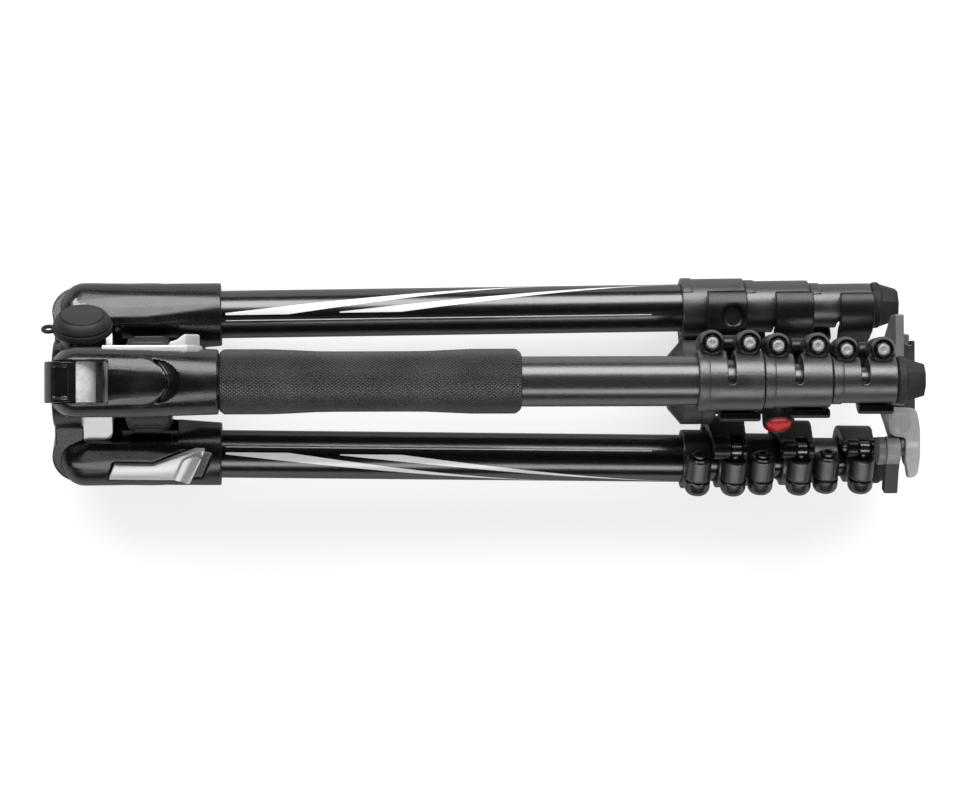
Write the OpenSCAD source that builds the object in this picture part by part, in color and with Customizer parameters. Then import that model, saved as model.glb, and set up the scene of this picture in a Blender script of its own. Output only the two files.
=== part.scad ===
// Travel tripod with a ball head, folded: the three legs lie back over the column and the head.
// The column runs along X with the head towards +X, the gripped leg is on top, and the tripod lies on the other two.
// Each leg is drawn once, with its hinge at the origin, the tube along X and +Z away from the column.

/* [Legs] */
// Distance of each leg hinge from the column axis
hinge_r = 34.6; // [34:0.1:38]
// Outward splay of a folded leg, degrees
leg_splay = 0.9; // [0.5:0.1:1.5]
// Height of the tube axis above the leg hinge
tube_rise = 2.3; // [1:0.1:3]
// Outer diameter of the thickest leg tube
tube_1_d = 22.5; // [21.8:0.1:22.8]
// Outer diameter of the second leg tube
tube_2_d = 19; // [18:0.1:19.4]
// Outer diameter of the third leg tube
tube_3_d = 15.5; // [14.5:0.1:15.9]
// Outer diameter of the thinnest leg tube
tube_4_d = 12; // [11:0.1:12.4]
// Wall of the leg tubes
tube_wall = 1.2; // [0.8:0.05:1.3]
// Distance from the hinge to the end of the thickest tube, inside the yoke
tube_start = 19; // [18:0.1:22]
// Step between the hidden ends of one tube and the next
tube_step = 1.5; // [1:0.1:4]

/* [Leg yoke] */
// Width across the two arms of the yoke
yoke_w = 31.8; // [30:0.1:33]
// Opening between the arms
fork_w = 19.2; // [18:0.1:20]
// Depth of the opening, from the hinge to the web
fork_depth = 16.5; // [16:0.1:17.5]
// Radius of the arms' round end
arm_end_r = 10.5; // [9:0.1:11]
// Reach of the yoke from the hinge towards the column
yoke_in = 10.3; // [10:0.1:10.6]
// Reach of the yoke from the hinge away from the column
yoke_out = 15.8; // [15.5:0.1:16.5]
// Radius of the yoke's outer corners
yoke_corner_r = 11; // [8:0.5:12]
// Distance from the hinge to the end of the boxy part
yoke_box_end = 31; // [28:0.5:36]
// Distance from the hinge to the start of the round socket
socket_start = 49; // [46:0.5:52]
// Distance from the hinge to the end of the socket
socket_end = 65.6; // [64:0.1:70]
// Outer diameter of the socket
socket_d = 28; // [27:0.1:28.4]
// Diameter of the hinge pin
hinge_pin_d = 6; // [4:0.5:8]
// Height of the raised tongue on the outer face
tongue_rise = 0.5; // [0.2:0.1:1]
// Distance from the hinge to the tip of the tongue
tongue_end = 52; // [46:0.5:58]

/* [Angle selector] */
// Distance from the hinge to the selector's front edge
selector_start = 13.1; // [12.5:0.1:15]
// Length of the selector
selector_len = 45; // [40:0.5:46]
// Width of the selector's straight bar
selector_bar_w = 8; // [6:0.1:9]
// Height of the bar's middle above the hinge
selector_rise = 3.4; // [2:0.1:4]
// Length of the straight bar
selector_bar_len = 19.3; // [16:0.1:22]
// Width of the selector's thumb end
selector_end_w = 16; // [12:0.5:17]
// Length of the raised thumb pad
thumb_pad_len = 10.7; // [8:0.1:12]
// How far the bar stands proud of the yoke's flank
selector_proud = 1.4; // [1:0.1:2.6]
// How far the thumb pad stands proud of the yoke's flank
thumb_pad_proud = 6; // [5:0.1:7]
// Depth of the selector's bed in the flank
selector_bed = 3.2; // [2:0.1:3.4]
// Travel of the selector
selector_travel = 4; // [2:0.5:5]

/* [Leg locks] */
// Distance from the hinge to the first lock
lock_1_start = 283; // [270:0.1:290]
// Length of the first lock
lock_1_len = 29.8; // [29:0.1:32]
// Length of the second lock
lock_2_len = 31; // [30:0.1:33]
// Length of the third lock
lock_3_len = 29.6; // [29:0.1:32]
// Outer diameter of the first lock's collar
lock_1_d = 27.4; // [26.5:0.1:27.6]
// Outer diameter of the second lock's collar
lock_2_d = 24.6; // [23.5:0.1:26]
// Outer diameter of the third lock's collar
lock_3_d = 21; // [20:0.1:22]
// Gap between one lock and the next on a folded leg
lock_gap = 0.3; // [0.2:0.1:1]
// Distance of the bolts outside the collar
bolt_out = 3.3; // [3:0.1:4]
// Distance of each bolt from its end of the collar
bolt_in = 6.4; // [6.1:0.1:7]
// Diameter of the lock bolts
lock_bolt_d = 4; // [3:0.5:5]
// Outer diameter of the bolt bosses
boss_d = 12; // [11:0.1:12.2]
// Reach of the bosses above the tube axis
boss_top = 7.4; // [6.5:0.1:9]
// Reach of the ears below the tube axis
ear_drop = 10.1; // [9:0.1:10.2]
// Width of the clamping slit
slit_w = 3.5; // [2:0.1:4]
// How far the slit runs past the tube axis
slit_past = 2; // [1:0.1:4]
// Width of the lock nuts across their corners
nut_d = 7.6; // [6.5:0.1:8.4]
// Height of the lock nuts
nut_h = 3; // [2:0.1:4]
// Depth of the nut's seat in the boss
nut_seat = 1.6; // [1:0.1:3]

/* [Lock levers] */
// Thickness of a lever
lever_thk = 4.8; // [4:0.1:4.9]
// Gap between a closed lever and its collar
lever_gap = 0.7; // [0.5:0.1:0.9]
// Reach of a lever from its bolt towards the hinge
lever_near = 11; // [9:0.1:11.2]
// Reach of a lever from its bolt towards the foot
lever_far = 5.2; // [4.6:0.1:6]
// Diameter of the lever's cam
cam_d = 8.6; // [8:0.1:8.8]
// Diameter of the pin through the cam
cam_pin_d = 3.2; // [2.5:0.1:4]
// Width of the bolt's eye inside the cam
eye_w = 4.8; // [4:0.1:6]
// Outer diameter of the bolt's eye
eye_d = 6.4; // [5.6:0.1:7.4]
// Radius of the lever's outer corner
lever_corner_r = 7; // [5:0.5:9]

/* [Feet and grip] */
// Length of a rubber foot
foot_len = 14.2; // [10:0.1:16]
// Diameter of the foot's flange
foot_d = 21; // [18:0.1:21.4]
// Diameter of the foot's tip
foot_tip_d = 13; // [10:0.5:16]
// Length of the rubber grip
grip_len = 137; // [120:1:150]
// Diameter of the grip's ends
grip_d = 29.6; // [27:0.1:29.8]
// Diameter of the grip's waist
grip_waist_d = 27.4; // [26:0.1:28]
// Length of the grip's thick end by the yoke
grip_near_len = 22; // [15:0.5:30]
// Length of the grip's thick end by the locks
grip_far_len = 23; // [15:0.5:30]

/* [Spider] */
// Diameter of the spider's hub
hub_d = 40; // [36:0.5:41]
// Distance from the hinge plane to the hub's outer face
hub_back = 11.4; // [10:0.1:12]
// Distance from the hinge plane to the hub's inner face
hub_front = 1.9; // [1:0.1:2.5]
// Radius of the lugs that hold the leg hinges
lug_r = 13.2; // [12:0.1:13.6]
// Diameter of the neck round the column
neck_d = 30; // [28:0.1:30.4]
// Length of the neck in front of the hub
neck_len = 19; // [18:0.1:19.5]
// Reach of a stop block from the column axis
stop_r = 25; // [24:0.1:25.2]
// Length of a stop block
stop_len = 13.3; // [12:0.1:13.6]
// Depth of the rubber pad in a lug
pad_depth = 1.2; // [0.8:0.1:2]
// Width of the rubber pad
pad_w = 14.6; // [12:0.1:16]
// Angle from a lug's top to the pad's first edge, degrees
pad_from = 8; // [4:1:12]
// Angle from a lug's top to the pad's second edge, degrees
pad_to = 41; // [30:1:60]

/* [Accessory port] */
// Distance from the hinge plane to the port's middle
port_x = 2.7; // [1:0.1:4]
// Outer diameter of the port's boss
port_d = 21; // [18:0.1:21.4]
// Reach of the port's face from the column axis
port_r = 27.3; // [26:0.1:27.4]
// Diameter of the port's accessory thread
port_bore_d = 9.525; // [9.525:0.001:9.6]
// Depth of the accessory thread
port_depth = 12; // [10:0.5:13]
// Rim diameter of the port's rubber cap
cap_d = 27.7; // [26:0.1:28]
// Top diameter of the cap
cap_top_d = 21; // [18:0.1:23]
// Height of the cap
cap_h = 9; // [7:0.1:11]
// Width of the tether ring beside the cap
tether_w = 7; // [6:0.1:9]

/* [Column] */
// Diameter of the centre column
column_d = 22.5; // [21.5:0.1:22.8]
// Wall of the column
column_wall = 1.5; // [1:0.1:2]
// Distance from the hinge plane to the column's foot
column_back = 11.4; // [10:0.1:14]
// Distance from the hinge plane to the top plate
head_start = 274.6; // [268:0.1:276]
// Gap between the lock ring and the folded legs
ring_gap = 2.3; // [2:0.1:4]
// Length of the lock ring
ring_len = 21; // [18:0.1:23]
// Rounding of the lock ring's ends
ring_round = 3; // [1:0.1:4]
// Number of flutes round the lock ring
ring_flutes = 18; // [8:1:24]

/* [Head] */
// Diameter of the head's base
base_d = 39.4; // [36:0.1:40]
// Length of the cone under the base
base_cone_len = 6.1; // [4:0.1:8]
// Length of the base above its cone
base_len = 8.3; // [6:0.1:9]
// Length of the panning skirt
skirt_len = 6.6; // [5:0.1:8]
// Diameter of the ball housing
housing_d = 30; // [28.5:0.1:30.4]
// Length of the housing above its skirt
housing_len = 41.2; // [38:0.1:42]
// Diameter of the ball
ball_d = 22.4; // [20:0.1:22.6]
// Depth of the ball's middle inside the housing's mouth
ball_depth = 8.5; // [8:0.1:10]
// Thickness of the friction liner round the ball
liner_thk = 1.2; // [0.8:0.1:1.3]
// Diameter of the stem
stem_d = 12; // [10:0.1:13]
// Diameter of the ball lock knob
knob_d = 15; // [13:0.1:15.2]
// Reach of the ball lock knob from the column axis
knob_r = 23.6; // [22:0.1:24]
// Distance of the ball lock knob behind the ball's middle
knob_back = 4.3; // [3:0.1:4.6]
// Diameter of the badge on the knob
badge_d = 13.4; // [12:0.1:13.6]
// Diameter of the pan lock knob
pan_knob_d = 11; // [9:0.1:11.4]
// Reach of the pan lock knob from the column axis
pan_knob_r = 29; // [26:0.1:30]

/* [Quick release] */
// Distance from the ball's middle to the clamp's underside
stem_reach = 49.9; // [48:0.1:51]
// Thickness of the clamp's base
clamp_thk = 4; // [3:0.1:4.5]
// Width of the clamp across its ears
clamp_w = 62; // [58:0.1:63]
// Height of the jaws
jaw_h = 4.4; // [3:0.1:5]
// Thickness of the camera plate
plate_thk = 6.2; // [5.6:0.1:7]
// Width of the camera plate
plate_w = 38; // [34:0.1:38.4]
// Length of the camera plate
plate_len = 33.5; // [30:0.1:34]
// Diameter of the quick-release pivot
pivot_d = 13; // [11:0.1:13.4]
// Distance of the pivot to the side of the column axis
pivot_side = 32.4; // [32:0.1:34]
// Height of the pivot above the column axis
pivot_rise = 17; // [16:0.1:18]
// Thickness of the quick-release lever
release_thk = 7.4; // [6:0.1:8]
// Length of the quick-release lever's thumb end
release_len = 20.4; // [16:0.1:21]
// Reach of the lever's thumb pad back beside the clamp
release_pad_back = 6.6; // [4:0.1:7]
// Length of the safety catch
catch_len = 19.8; // [14:0.1:20]
// Diameter of the camera thread
camera_thread_d = 6.35; // [6.3:0.001:6.4]
// Length of the camera thread above the plate
camera_thread_len = 5; // [4:0.1:6]

/* [Hidden] */

$fn = 48;
// A cut runs past the face that it opens by this much.
over = 1;
// A close fit between pieces that are fixed together, and a running fit between pieces that move.
fit = 0.05;
running = 0.2;

// Turns of the legs and of the gaps between them, round the column.
LEG_A_ANGLE = 0;
LEG_B_ANGLE = -120;
LEG_C_ANGLE = 120;
GAP_AB_ANGLE = -60;
GAP_CA_ANGLE = 60;
GAP_BC_ANGLE = 180;

// Half sizes
tube_1_r = tube_1_d / 2;
tube_2_r = tube_2_d / 2;
tube_3_r = tube_3_d / 2;
tube_4_r = tube_4_d / 2;
lock_1_r = lock_1_d / 2;
lock_2_r = lock_2_d / 2;
lock_3_r = lock_3_d / 2;
yoke_half = yoke_w / 2;
fork_half = fork_w / 2;
lug_half = fork_half - running;
column_r = column_d / 2;
neck_r = neck_d / 2;
ring_r = hinge_r - yoke_in - ring_gap;
base_r = base_d / 2;
housing_r = housing_d / 2;
ball_r = ball_d / 2;
stem_r = stem_d / 2;
boss_r = boss_d / 2;
cam_r = cam_d / 2;
pivot_half = pivot_d / 2;

// Stations along a leg
lock_1_end = lock_1_start + lock_1_len;
lock_2_start = lock_1_end + lock_gap;
lock_2_end = lock_2_start + lock_2_len;
lock_3_start = lock_2_end + lock_gap;
lock_3_end = lock_3_start + lock_3_len;
foot_start = lock_3_end + lock_gap;
tube_2_start = tube_start + tube_step;
tube_3_start = tube_2_start + tube_step;
tube_4_start = tube_3_start + tube_step;
foot_socket = foot_len / 2;
// A tube ends this far short of the slit in the lock that it carries.
tube_stop = 1;

// Angle selector
selector_bottom = selector_rise - selector_bar_w / 2;
selector_top = selector_rise + selector_bar_w / 2;
selector_bar_end = selector_start + selector_bar_len;
selector_end = selector_start + selector_len;
selector_slant = selector_bar_w / 3;
selector_low = selector_top - selector_end_w;
thumb_pad_end = selector_end - selector_slant - running;
thumb_pad_start = thumb_pad_end - thumb_pad_len;
selector_floor = yoke_half - selector_bed;

// Lever and cam
eye_r = eye_d / 2;
bolt_r = lock_bolt_d / 2;
cam_lift = running;

// Spider, ring and port
neck_end = hub_front + neck_len;
ring_start = neck_end + over;
ring_end = ring_start + ring_len;
ring_wall = 1.4;
collet_r = neck_r - ring_wall;
collet_end = ring_end - ring_wall - running;
lug_root = neck_r - ring_wall;
stop_round = 4;
flute_r = 1.2;
cap_start = port_r + running;
cap_plug_h = port_depth - over;
cap_plug_r = port_bore_d / 2 - running;
cap_rim_h = 1.8;
tether_thk = 2.4;

// Head
top_plate_end = head_start + base_cone_len;
base_end = top_plate_end + base_len;
skirt_start = base_end + running;
skirt_end = skirt_start + skirt_len;
housing_end = skirt_end + housing_len;
ball_x = housing_end - ball_depth;
knob_x = ball_x - knob_back;
clamp_start = ball_x + stem_reach;
spigot_r = base_r / 2;
spigot_h = skirt_len - over;
column_end = head_start + base_cone_len / 2;
liner_r = ball_r + running + liner_thk;
socket_r = liner_r + running;
mouth_r = ball_r - over;
liner_back = ball_r * 0.8;
liner_front = ball_r * 0.3;
knob_seat = housing_r - over;
knob_start = housing_r + running;
knob_stud_r = 3;
badge_thk = 1;
pan_knob_x = (skirt_start + skirt_end) / 2;
pan_stud_r = 2;
pan_knob_start = base_r + running;

// Quick release
clamp_end = clamp_start + clamp_thk;
jaw_end = clamp_end + jaw_h;
plate_start = clamp_end + running;
plate_end = plate_start + plate_thk;
clamp_half = clamp_w / 2;
plate_half = plate_w / 2;
dovetail_step = 2.5;
dovetail_half = plate_half - dovetail_step;
jaw_w = 5.4;
jaw_low = 0;
jaw_high = 12;
pivot_y = -pivot_side;
pivot_z = pivot_rise;
pivot_pin_r = 2.5;
pivot_foot = 3.8;
catch_thk = 6.4;
catch_lead = 4.4;
catch_angle = 20;
catch_start = clamp_start - catch_lead;
release_start = clamp_end + running;
release_end = release_start + release_thk;
screw_head_r = 7;
screw_head_h = 2;
screw_neck_r = 2.6;
thread_start = plate_end + running;

// Outer limits of the folded tripod, for placing its origin under the middle.
x_low = port_x - cap_d / 2 - 3 / 4 * tether_w;
x_high = plate_end + camera_thread_len;
splay_at_bolt = (lock_1_end - bolt_in) * sin(leg_splay);
boss_low_r = hinge_r + tube_rise + boss_top + splay_at_bolt;
nut_low_r = hinge_r + tube_rise + boss_top - nut_seat + running + nut_h + splay_at_bolt;
nut_low_y = lock_1_r + bolt_out + nut_d / 2 * cos(30);
y_low = -(nut_low_r * cos(30) + nut_low_y * sin(30));
y_high = (hinge_r + tube_rise + lock_1_end * sin(leg_splay)) * cos(30) + lock_1_r;
z_low = -(boss_low_r * sin(30) + (lock_1_r + bolt_out + boss_r) * cos(30));

// Places the whole tripod.
module place() {
    translate([-(x_low + x_high) / 2, -(y_low + y_high) / 2, -z_low]) children();
}

// Places a leg that is drawn with its hinge at the origin.
module on_leg(turn) {
    place() rotate([turn, 0, 0]) translate([0, 0, hinge_r]) rotate([0, -leg_splay, 0]) children();
}

// Places a piece that is drawn round the column axis, turned to a leg or to a gap between legs.
module on_column(turn) {
    place() rotate([turn, 0, 0]) children();
}

// A rod along X, round the X axis.
module rod(from, to, r) {
    translate([from, 0, 0]) rotate([0, 90, 0]) cylinder(h = to - from, r = r);
}

// A turned piece along X. Each point of the outline is [place along X, radius].
module turned(points) {
    rotate([0, 90, 0]) rotate_extrude() polygon([for (p = points) [p[1], p[0]]]);
}

// A ball with its poles on the X axis, as a turned piece has them.
module ball(at, r) {
    translate([at, 0, 0]) rotate([0, 90, 0]) sphere(r = r);
}

// A plate with its outline in X and Z, between two places across Y.
module side_plate(from, to) {
    translate([0, to, 0]) rotate([90, 0, 0]) linear_extrude(height = to - from) children();
}

// A plate with its outline in Y and Z, between two places along X.
module end_plate(from, to) {
    translate([from, 0, 0]) rotate([90, 0, 90]) linear_extrude(height = to - from) children();
}

// Leg yoke

module yoke_side() {
    hull() {
        circle(r = arm_end_r);
        translate([fork_depth / 8, yoke_out - arm_end_r]) circle(r = arm_end_r);
        translate([fork_depth, -yoke_in]) square([yoke_box_end - fork_depth, yoke_in + yoke_out]);
    }
}

module yoke_section() {
    corner_y = yoke_half - yoke_corner_r;
    hull() {
        for (side = [-1, 1])
            translate([side * corner_y, yoke_out - yoke_corner_r]) circle(r = yoke_corner_r);
        translate([-yoke_half, -yoke_in - over]) square([yoke_w, yoke_in + over]);
    }
}

module yoke_blend() {
    blend = tube_wall;
    hull() {
        end_plate(yoke_box_end - blend, yoke_box_end) intersection() {
            yoke_section();
            translate([-yoke_half, -yoke_in]) square([yoke_w, yoke_in + yoke_out]);
        }
        translate([0, 0, tube_rise]) rod(socket_start, socket_start + blend, socket_d / 2, $fn = 32);
    }
}

// The tongue follows the rounded outer face and ends in a half circle that stands over the socket.
module tongue() {
    half = yoke_corner_r + over;
    intersection() {
        translate([0, 0, yoke_corner_r / 2]) linear_extrude(height = yoke_out) {
            translate([fork_depth, -half]) square([tongue_end - half - fork_depth, 2 * half]);
            translate([tongue_end - half, 0]) circle(r = half);
        }
        end_plate(fork_depth, tongue_end + over) offset(delta = tongue_rise) yoke_section();
    }
}

module selector_outline(grow) {
    offset(delta = grow) polygon([
        [selector_start, selector_top],
        [selector_start + selector_slant, selector_bottom],
        [selector_bar_end, selector_bottom],
        [selector_end - selector_bar_w, selector_low],
        [selector_end, selector_low],
        [selector_end - selector_bar_w, selector_top]
    ]);
}

module yoke() {
    color("#1d1e20") difference() {
        union() {
            intersection() {
                side_plate(-yoke_half, yoke_half) yoke_side();
                end_plate(-arm_end_r - over, yoke_box_end) yoke_section();
            }
            yoke_blend();
            tongue();
            translate([0, 0, tube_rise]) rod(socket_start, socket_end, socket_d / 2);
        }
        // Opening between the arms
        translate([-arm_end_r - over, -fork_half, -yoke_in - over])
            cube([arm_end_r + over + fork_depth, fork_w, yoke_in + yoke_out + 2 * over]);
        // Bore for the leg tube
        translate([0, 0, tube_rise]) rod(tube_start, socket_end + over, tube_1_r + fit);
        // Bore for the hinge pin, open on one flank only
        translate([0, -yoke_half - over, 0]) rotate([-90, 0, 0])
            cylinder(h = yoke_half + over + selector_floor, r = hinge_pin_d / 2 + running);
        // Bed of the angle selector
        side_plate(selector_floor, yoke_half + over) hull() {
            selector_outline(running);
            translate([selector_travel, 0]) selector_outline(running);
        }
    }
}

module angle_selector() {
    pad_r = thumb_pad_len / 2;
    color("#c9cbce") {
        side_plate(selector_floor + running, yoke_half + selector_proud) selector_outline(0);
        translate([thumb_pad_start + pad_r, yoke_half + running, selector_low + over])
            linear_extrude(height = selector_end_w - 2 * over) intersection() {
                translate([0, thumb_pad_proud - pad_r - running]) circle(r = pad_r);
                translate([-pad_r, 0]) square([2 * pad_r, thumb_pad_proud]);
            }
    }
}

// Leg tubes

module leg_tube(from, to, r) {
    color("#0f1012") translate([0, 0, tube_rise]) difference() {
        rod(from, to, r);
        rod(from - over, to + over, r - tube_wall);
    }
}

function lock_mid(start, len) = start + len / 2;
function tube_end(start, len) = lock_mid(start, len) - slit_w / 2 - tube_stop;

module tube_1() { leg_tube(tube_start, tube_end(lock_1_start, lock_1_len), tube_1_r); }
module tube_2() { leg_tube(tube_2_start, tube_end(lock_2_start, lock_2_len), tube_2_r); }
module tube_3() { leg_tube(tube_3_start, tube_end(lock_3_start, lock_3_len), tube_3_r); }
module tube_4() { leg_tube(tube_4_start, foot_start + foot_socket, tube_4_r); }

// Leg locks: a collar with two bolted ears on one side, and a cam lever that closes its slit end.

module lock_collar(start, len, collar_r, big_r, small_r) {
    mid = lock_mid(start, len);
    bolt_y = collar_r + bolt_out;
    ear_w = boss_d - over;
    ear_h = ear_drop + boss_top - nut_seat;
    translate([0, 0, tube_rise]) difference() {
        union() {
            rod(start, start + len, collar_r);
            for (x = [start + bolt_in, start + len - bolt_in]) {
                translate([x - ear_w / 2, 0, -ear_drop]) cube([ear_w, bolt_y, ear_h]);
                translate([x, bolt_y, -ear_drop]) cylinder(h = ear_drop + boss_top, r = boss_r);
            }
        }
        rod(start - over, mid, big_r + fit);
        rod(mid - over, start + len + over, small_r + running);
        // Slit between the fixed half and the clamping half
        translate([mid - slit_w / 2, 0, -collar_r - over])
            cube([slit_w, bolt_y + boss_d, 2 * (collar_r + over)]);
        translate([mid, 0, -collar_r - over]) scale([1, 2 * slit_past / slit_w, 1])
            cylinder(h = 2 * (collar_r + over), r = slit_w / 2);
        for (x = [start + bolt_in, start + len - bolt_in]) {
            translate([x, bolt_y, -ear_drop - over])
                cylinder(h = ear_drop + boss_top + 2 * over, r = bolt_r + running);
            translate([x, bolt_y, boss_top - nut_seat])
                cylinder(h = nut_seat + over, r = nut_d / 2 + running);
        }
    }
}

module lock_bolts(start, len, collar_r) {
    bolt_y = collar_r + bolt_out;
    eye_z = -ear_drop - cam_lift - cam_r;
    near_x = start + bolt_in;
    far_x = start + len - bolt_in;
    translate([0, bolt_y, tube_rise]) {
        for (x = [near_x, far_x]) translate([x, 0, boss_top - nut_seat + running])
            cylinder(h = nut_h, r = nut_d / 2, $fn = 6);
        translate([near_x, 0, -ear_drop])
            cylinder(h = ear_drop + boss_top + nut_h - nut_seat, r = bolt_r);
        translate([far_x, 0, eye_z]) cylinder(h = boss_top + nut_h - nut_seat - eye_z, r = bolt_r);
        translate([0, 0, eye_z]) {
            rod(far_x - eye_w / 2, far_x + eye_w / 2, eye_r);
            rod(far_x - lever_near + over, far_x + lever_far - over, cam_pin_d / 2);
        }
    }
}

module lock(start, len, collar_r, big_r, small_r) {
    color("#26272a") lock_collar(start, len, collar_r, big_r, small_r);
    color("#8d9094") lock_bolts(start, len, collar_r);
}

module lever(start, len, collar_r) {
    far_x = start + len - bolt_in;
    bolt_y = collar_r + bolt_out;
    eye_z = -ear_drop - cam_lift - cam_r;
    inner = collar_r + lever_gap;
    outer = inner + lever_thk;
    color("#141517") translate([0, 0, tube_rise]) difference() {
        union() {
            end_plate(far_x - lever_near, far_x + lever_far) difference() {
                hull() {
                    translate([-outer + lever_corner_r, -outer + lever_corner_r])
                        circle(r = lever_corner_r);
                    translate([-outer, -over]) square([2 * outer, over]);
                    translate([bolt_y - over, -outer]) square([over, lever_thk]);
                }
                translate([-inner, -inner]) square([2 * (outer + bolt_y), outer + inner]);
            }
            translate([0, bolt_y, eye_z]) rod(far_x - lever_near, far_x + lever_far, cam_r);
        }
        translate([0, bolt_y, eye_z]) {
            rod(far_x - lever_near - over, far_x + lever_far + over, cam_pin_d / 2 + running);
            rod(far_x - eye_w / 2 - running, far_x + eye_w / 2 + running, cam_r + over);
        }
    }
}

module lock_1() { lock(lock_1_start, lock_1_len, lock_1_r, tube_1_r, tube_2_r); }
module lock_2() { lock(lock_2_start, lock_2_len, lock_2_r, tube_2_r, tube_3_r); }
module lock_3() { lock(lock_3_start, lock_3_len, lock_3_r, tube_3_r, tube_4_r); }
module lever_1() { lever(lock_1_start, lock_1_len, lock_1_r); }
module lever_2() { lever(lock_2_start, lock_2_len, lock_2_r); }
module lever_3() { lever(lock_3_start, lock_3_len, lock_3_r); }

module foot() {
    flange = foot_len / 6;
    color("#17181a") translate([0, 0, tube_rise]) difference() {
        turned([
            [foot_start, 0],
            [foot_start, foot_d / 2 - flange],
            [foot_start + flange, foot_d / 2],
            [foot_start + 2 * flange, foot_d / 2],
            [foot_start + foot_len, foot_tip_d / 2],
            [foot_start + foot_len, 0]
        ]);
        rod(foot_start - over, foot_start + foot_socket + running, tube_4_r + fit);
    }
}

module grip() {
    start = socket_end + running;
    end = start + grip_len;
    chamfer = (grip_d - grip_waist_d) / 2;
    color("#2c2d30") translate([0, 0, tube_rise]) difference() {
        turned([
            [start, 0],
            [start, grip_d / 2 - chamfer],
            [start + chamfer, grip_d / 2],
            [start + grip_near_len, grip_d / 2],
            [start + 2 * grip_near_len, grip_waist_d / 2],
            [end - 2 * grip_far_len, grip_waist_d / 2],
            [end - grip_far_len, grip_d / 2],
            [end - chamfer, grip_d / 2],
            [end, grip_d / 2 - chamfer],
            [end, 0]
        ]);
        rod(start - over, end + over, tube_1_r + fit);
    }
}

// Spider and the pieces fixed to it

module lug() {
    side_plate(-lug_half, lug_half) intersection() {
        union() {
            translate([0, hinge_r]) circle(r = lug_r);
            translate([-hub_back, lug_root]) square([hub_back + hub_front, hinge_r - lug_root]);
        }
        translate([-lug_r - over, 0]) square([lug_r + over + hub_front, hinge_r + lug_r + over]);
    }
}

module pad_ring(from, to, half, gap) {
    reach = 2 * lug_r;
    translate([0, 0, hinge_r]) intersection() {
        rotate([90, 0, 0]) difference() {
            translate([0, 0, -half]) cylinder(h = 2 * half, r = to);
            translate([0, 0, -half - over]) cylinder(h = 2 * (half + over), r = from);
        }
        side_plate(-half - over, half + over) polygon([
            [0, 0],
            [-reach * sin(pad_from - gap), reach * cos(pad_from - gap)],
            [-reach * sin(pad_to + gap), reach * cos(pad_to + gap)]
        ]);
    }
}

// The port's boss leaves room for the stop blocks on either side of it.
module port_boss() {
    difference() {
        rotate([GAP_AB_ANGLE, 0, 0]) translate([port_x, 0, lug_root])
            cylinder(h = port_r - lug_root, r = port_d / 2);
        for (turn = [LEG_A_ANGLE, LEG_B_ANGLE]) rotate([turn, 0, 0])
            translate([hub_front, -lug_half - fit, 0])
                cube([stop_len + 2 * over, 2 * (lug_half + fit), stop_r + over]);
    }
}

module spider() {
    color("#1f2022") difference() {
        union() {
            rod(-hub_back, hub_front, hub_d / 2);
            rod(hub_front - over, neck_end, neck_r);
            rod(neck_end - over, collet_end, collet_r);
            for (turn = [LEG_A_ANGLE, LEG_B_ANGLE, LEG_C_ANGLE]) rotate([turn, 0, 0]) lug();
            port_boss();
        }
        rod(-hub_back - over, collet_end + over, column_r + running);
        for (turn = [LEG_A_ANGLE, LEG_B_ANGLE, LEG_C_ANGLE]) rotate([turn, 0, 0]) {
            translate([0, -lug_half - over, hinge_r]) rotate([-90, 0, 0])
                cylinder(h = 2 * (lug_half + over), r = hinge_pin_d / 2 + fit);
            pad_ring(lug_r - pad_depth, lug_r + over, pad_w / 2 + fit, 1);
        }
        rotate([GAP_AB_ANGLE, 0, 0]) translate([port_x, 0, port_r - port_depth])
            cylinder(h = port_depth + over, r = port_bore_d / 2);
    }
}

module stop_blocks() {
    color("#d4d6d8") for (turn = [LEG_A_ANGLE, LEG_B_ANGLE, LEG_C_ANGLE]) rotate([turn, 0, 0]) difference() {
        side_plate(-lug_half, lug_half) hull() {
            translate([hub_front + fit, 0]) square([stop_len, stop_r - stop_round]);
            translate([hub_front + fit, stop_r - stop_round]) square([stop_len / 2, stop_round]);
            translate([hub_front + fit + stop_len - stop_round, stop_r - stop_round])
                circle(r = stop_round);
        }
        rod(0, hub_front + stop_len + 2 * over, neck_r + fit);
    }
}

module lug_pads() {
    color("#101012") for (turn = [LEG_A_ANGLE, LEG_B_ANGLE, LEG_C_ANGLE]) rotate([turn, 0, 0])
        pad_ring(lug_r - pad_depth + fit, lug_r, pad_w / 2, 0);
}

module hinge_pins() {
    pin_end = selector_floor - running;
    color("#3a3c40") for (turn = [LEG_A_ANGLE, LEG_B_ANGLE, LEG_C_ANGLE]) rotate([turn, 0, 0])
        translate([0, -yoke_half + running, hinge_r]) rotate([-90, 0, 0])
            cylinder(h = yoke_half - running + pin_end, r = hinge_pin_d / 2);
}

module column_lock_ring() {
    round_x = ring_round;
    color("#232427") difference() {
        turned([
            [ring_start, column_r + 2 * running],
            [ring_start, ring_r - round_x],
            [ring_start + round_x / 3, ring_r - round_x / 3],
            [ring_start + round_x, ring_r],
            [ring_end - round_x, ring_r],
            [ring_end - round_x / 3, ring_r - round_x / 3],
            [ring_end, ring_r - round_x],
            [ring_end, column_r + 2 * running]
        ]);
        rod(ring_start - over, collet_end + running, collet_r + running);
        for (i = [0 : ring_flutes - 1]) rotate([i * 360 / ring_flutes, 0, 0])
            translate([0, 0, ring_r + flute_r / 3])
                rod(ring_start + round_x + over, ring_end - round_x - over, flute_r);
    }
}

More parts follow.
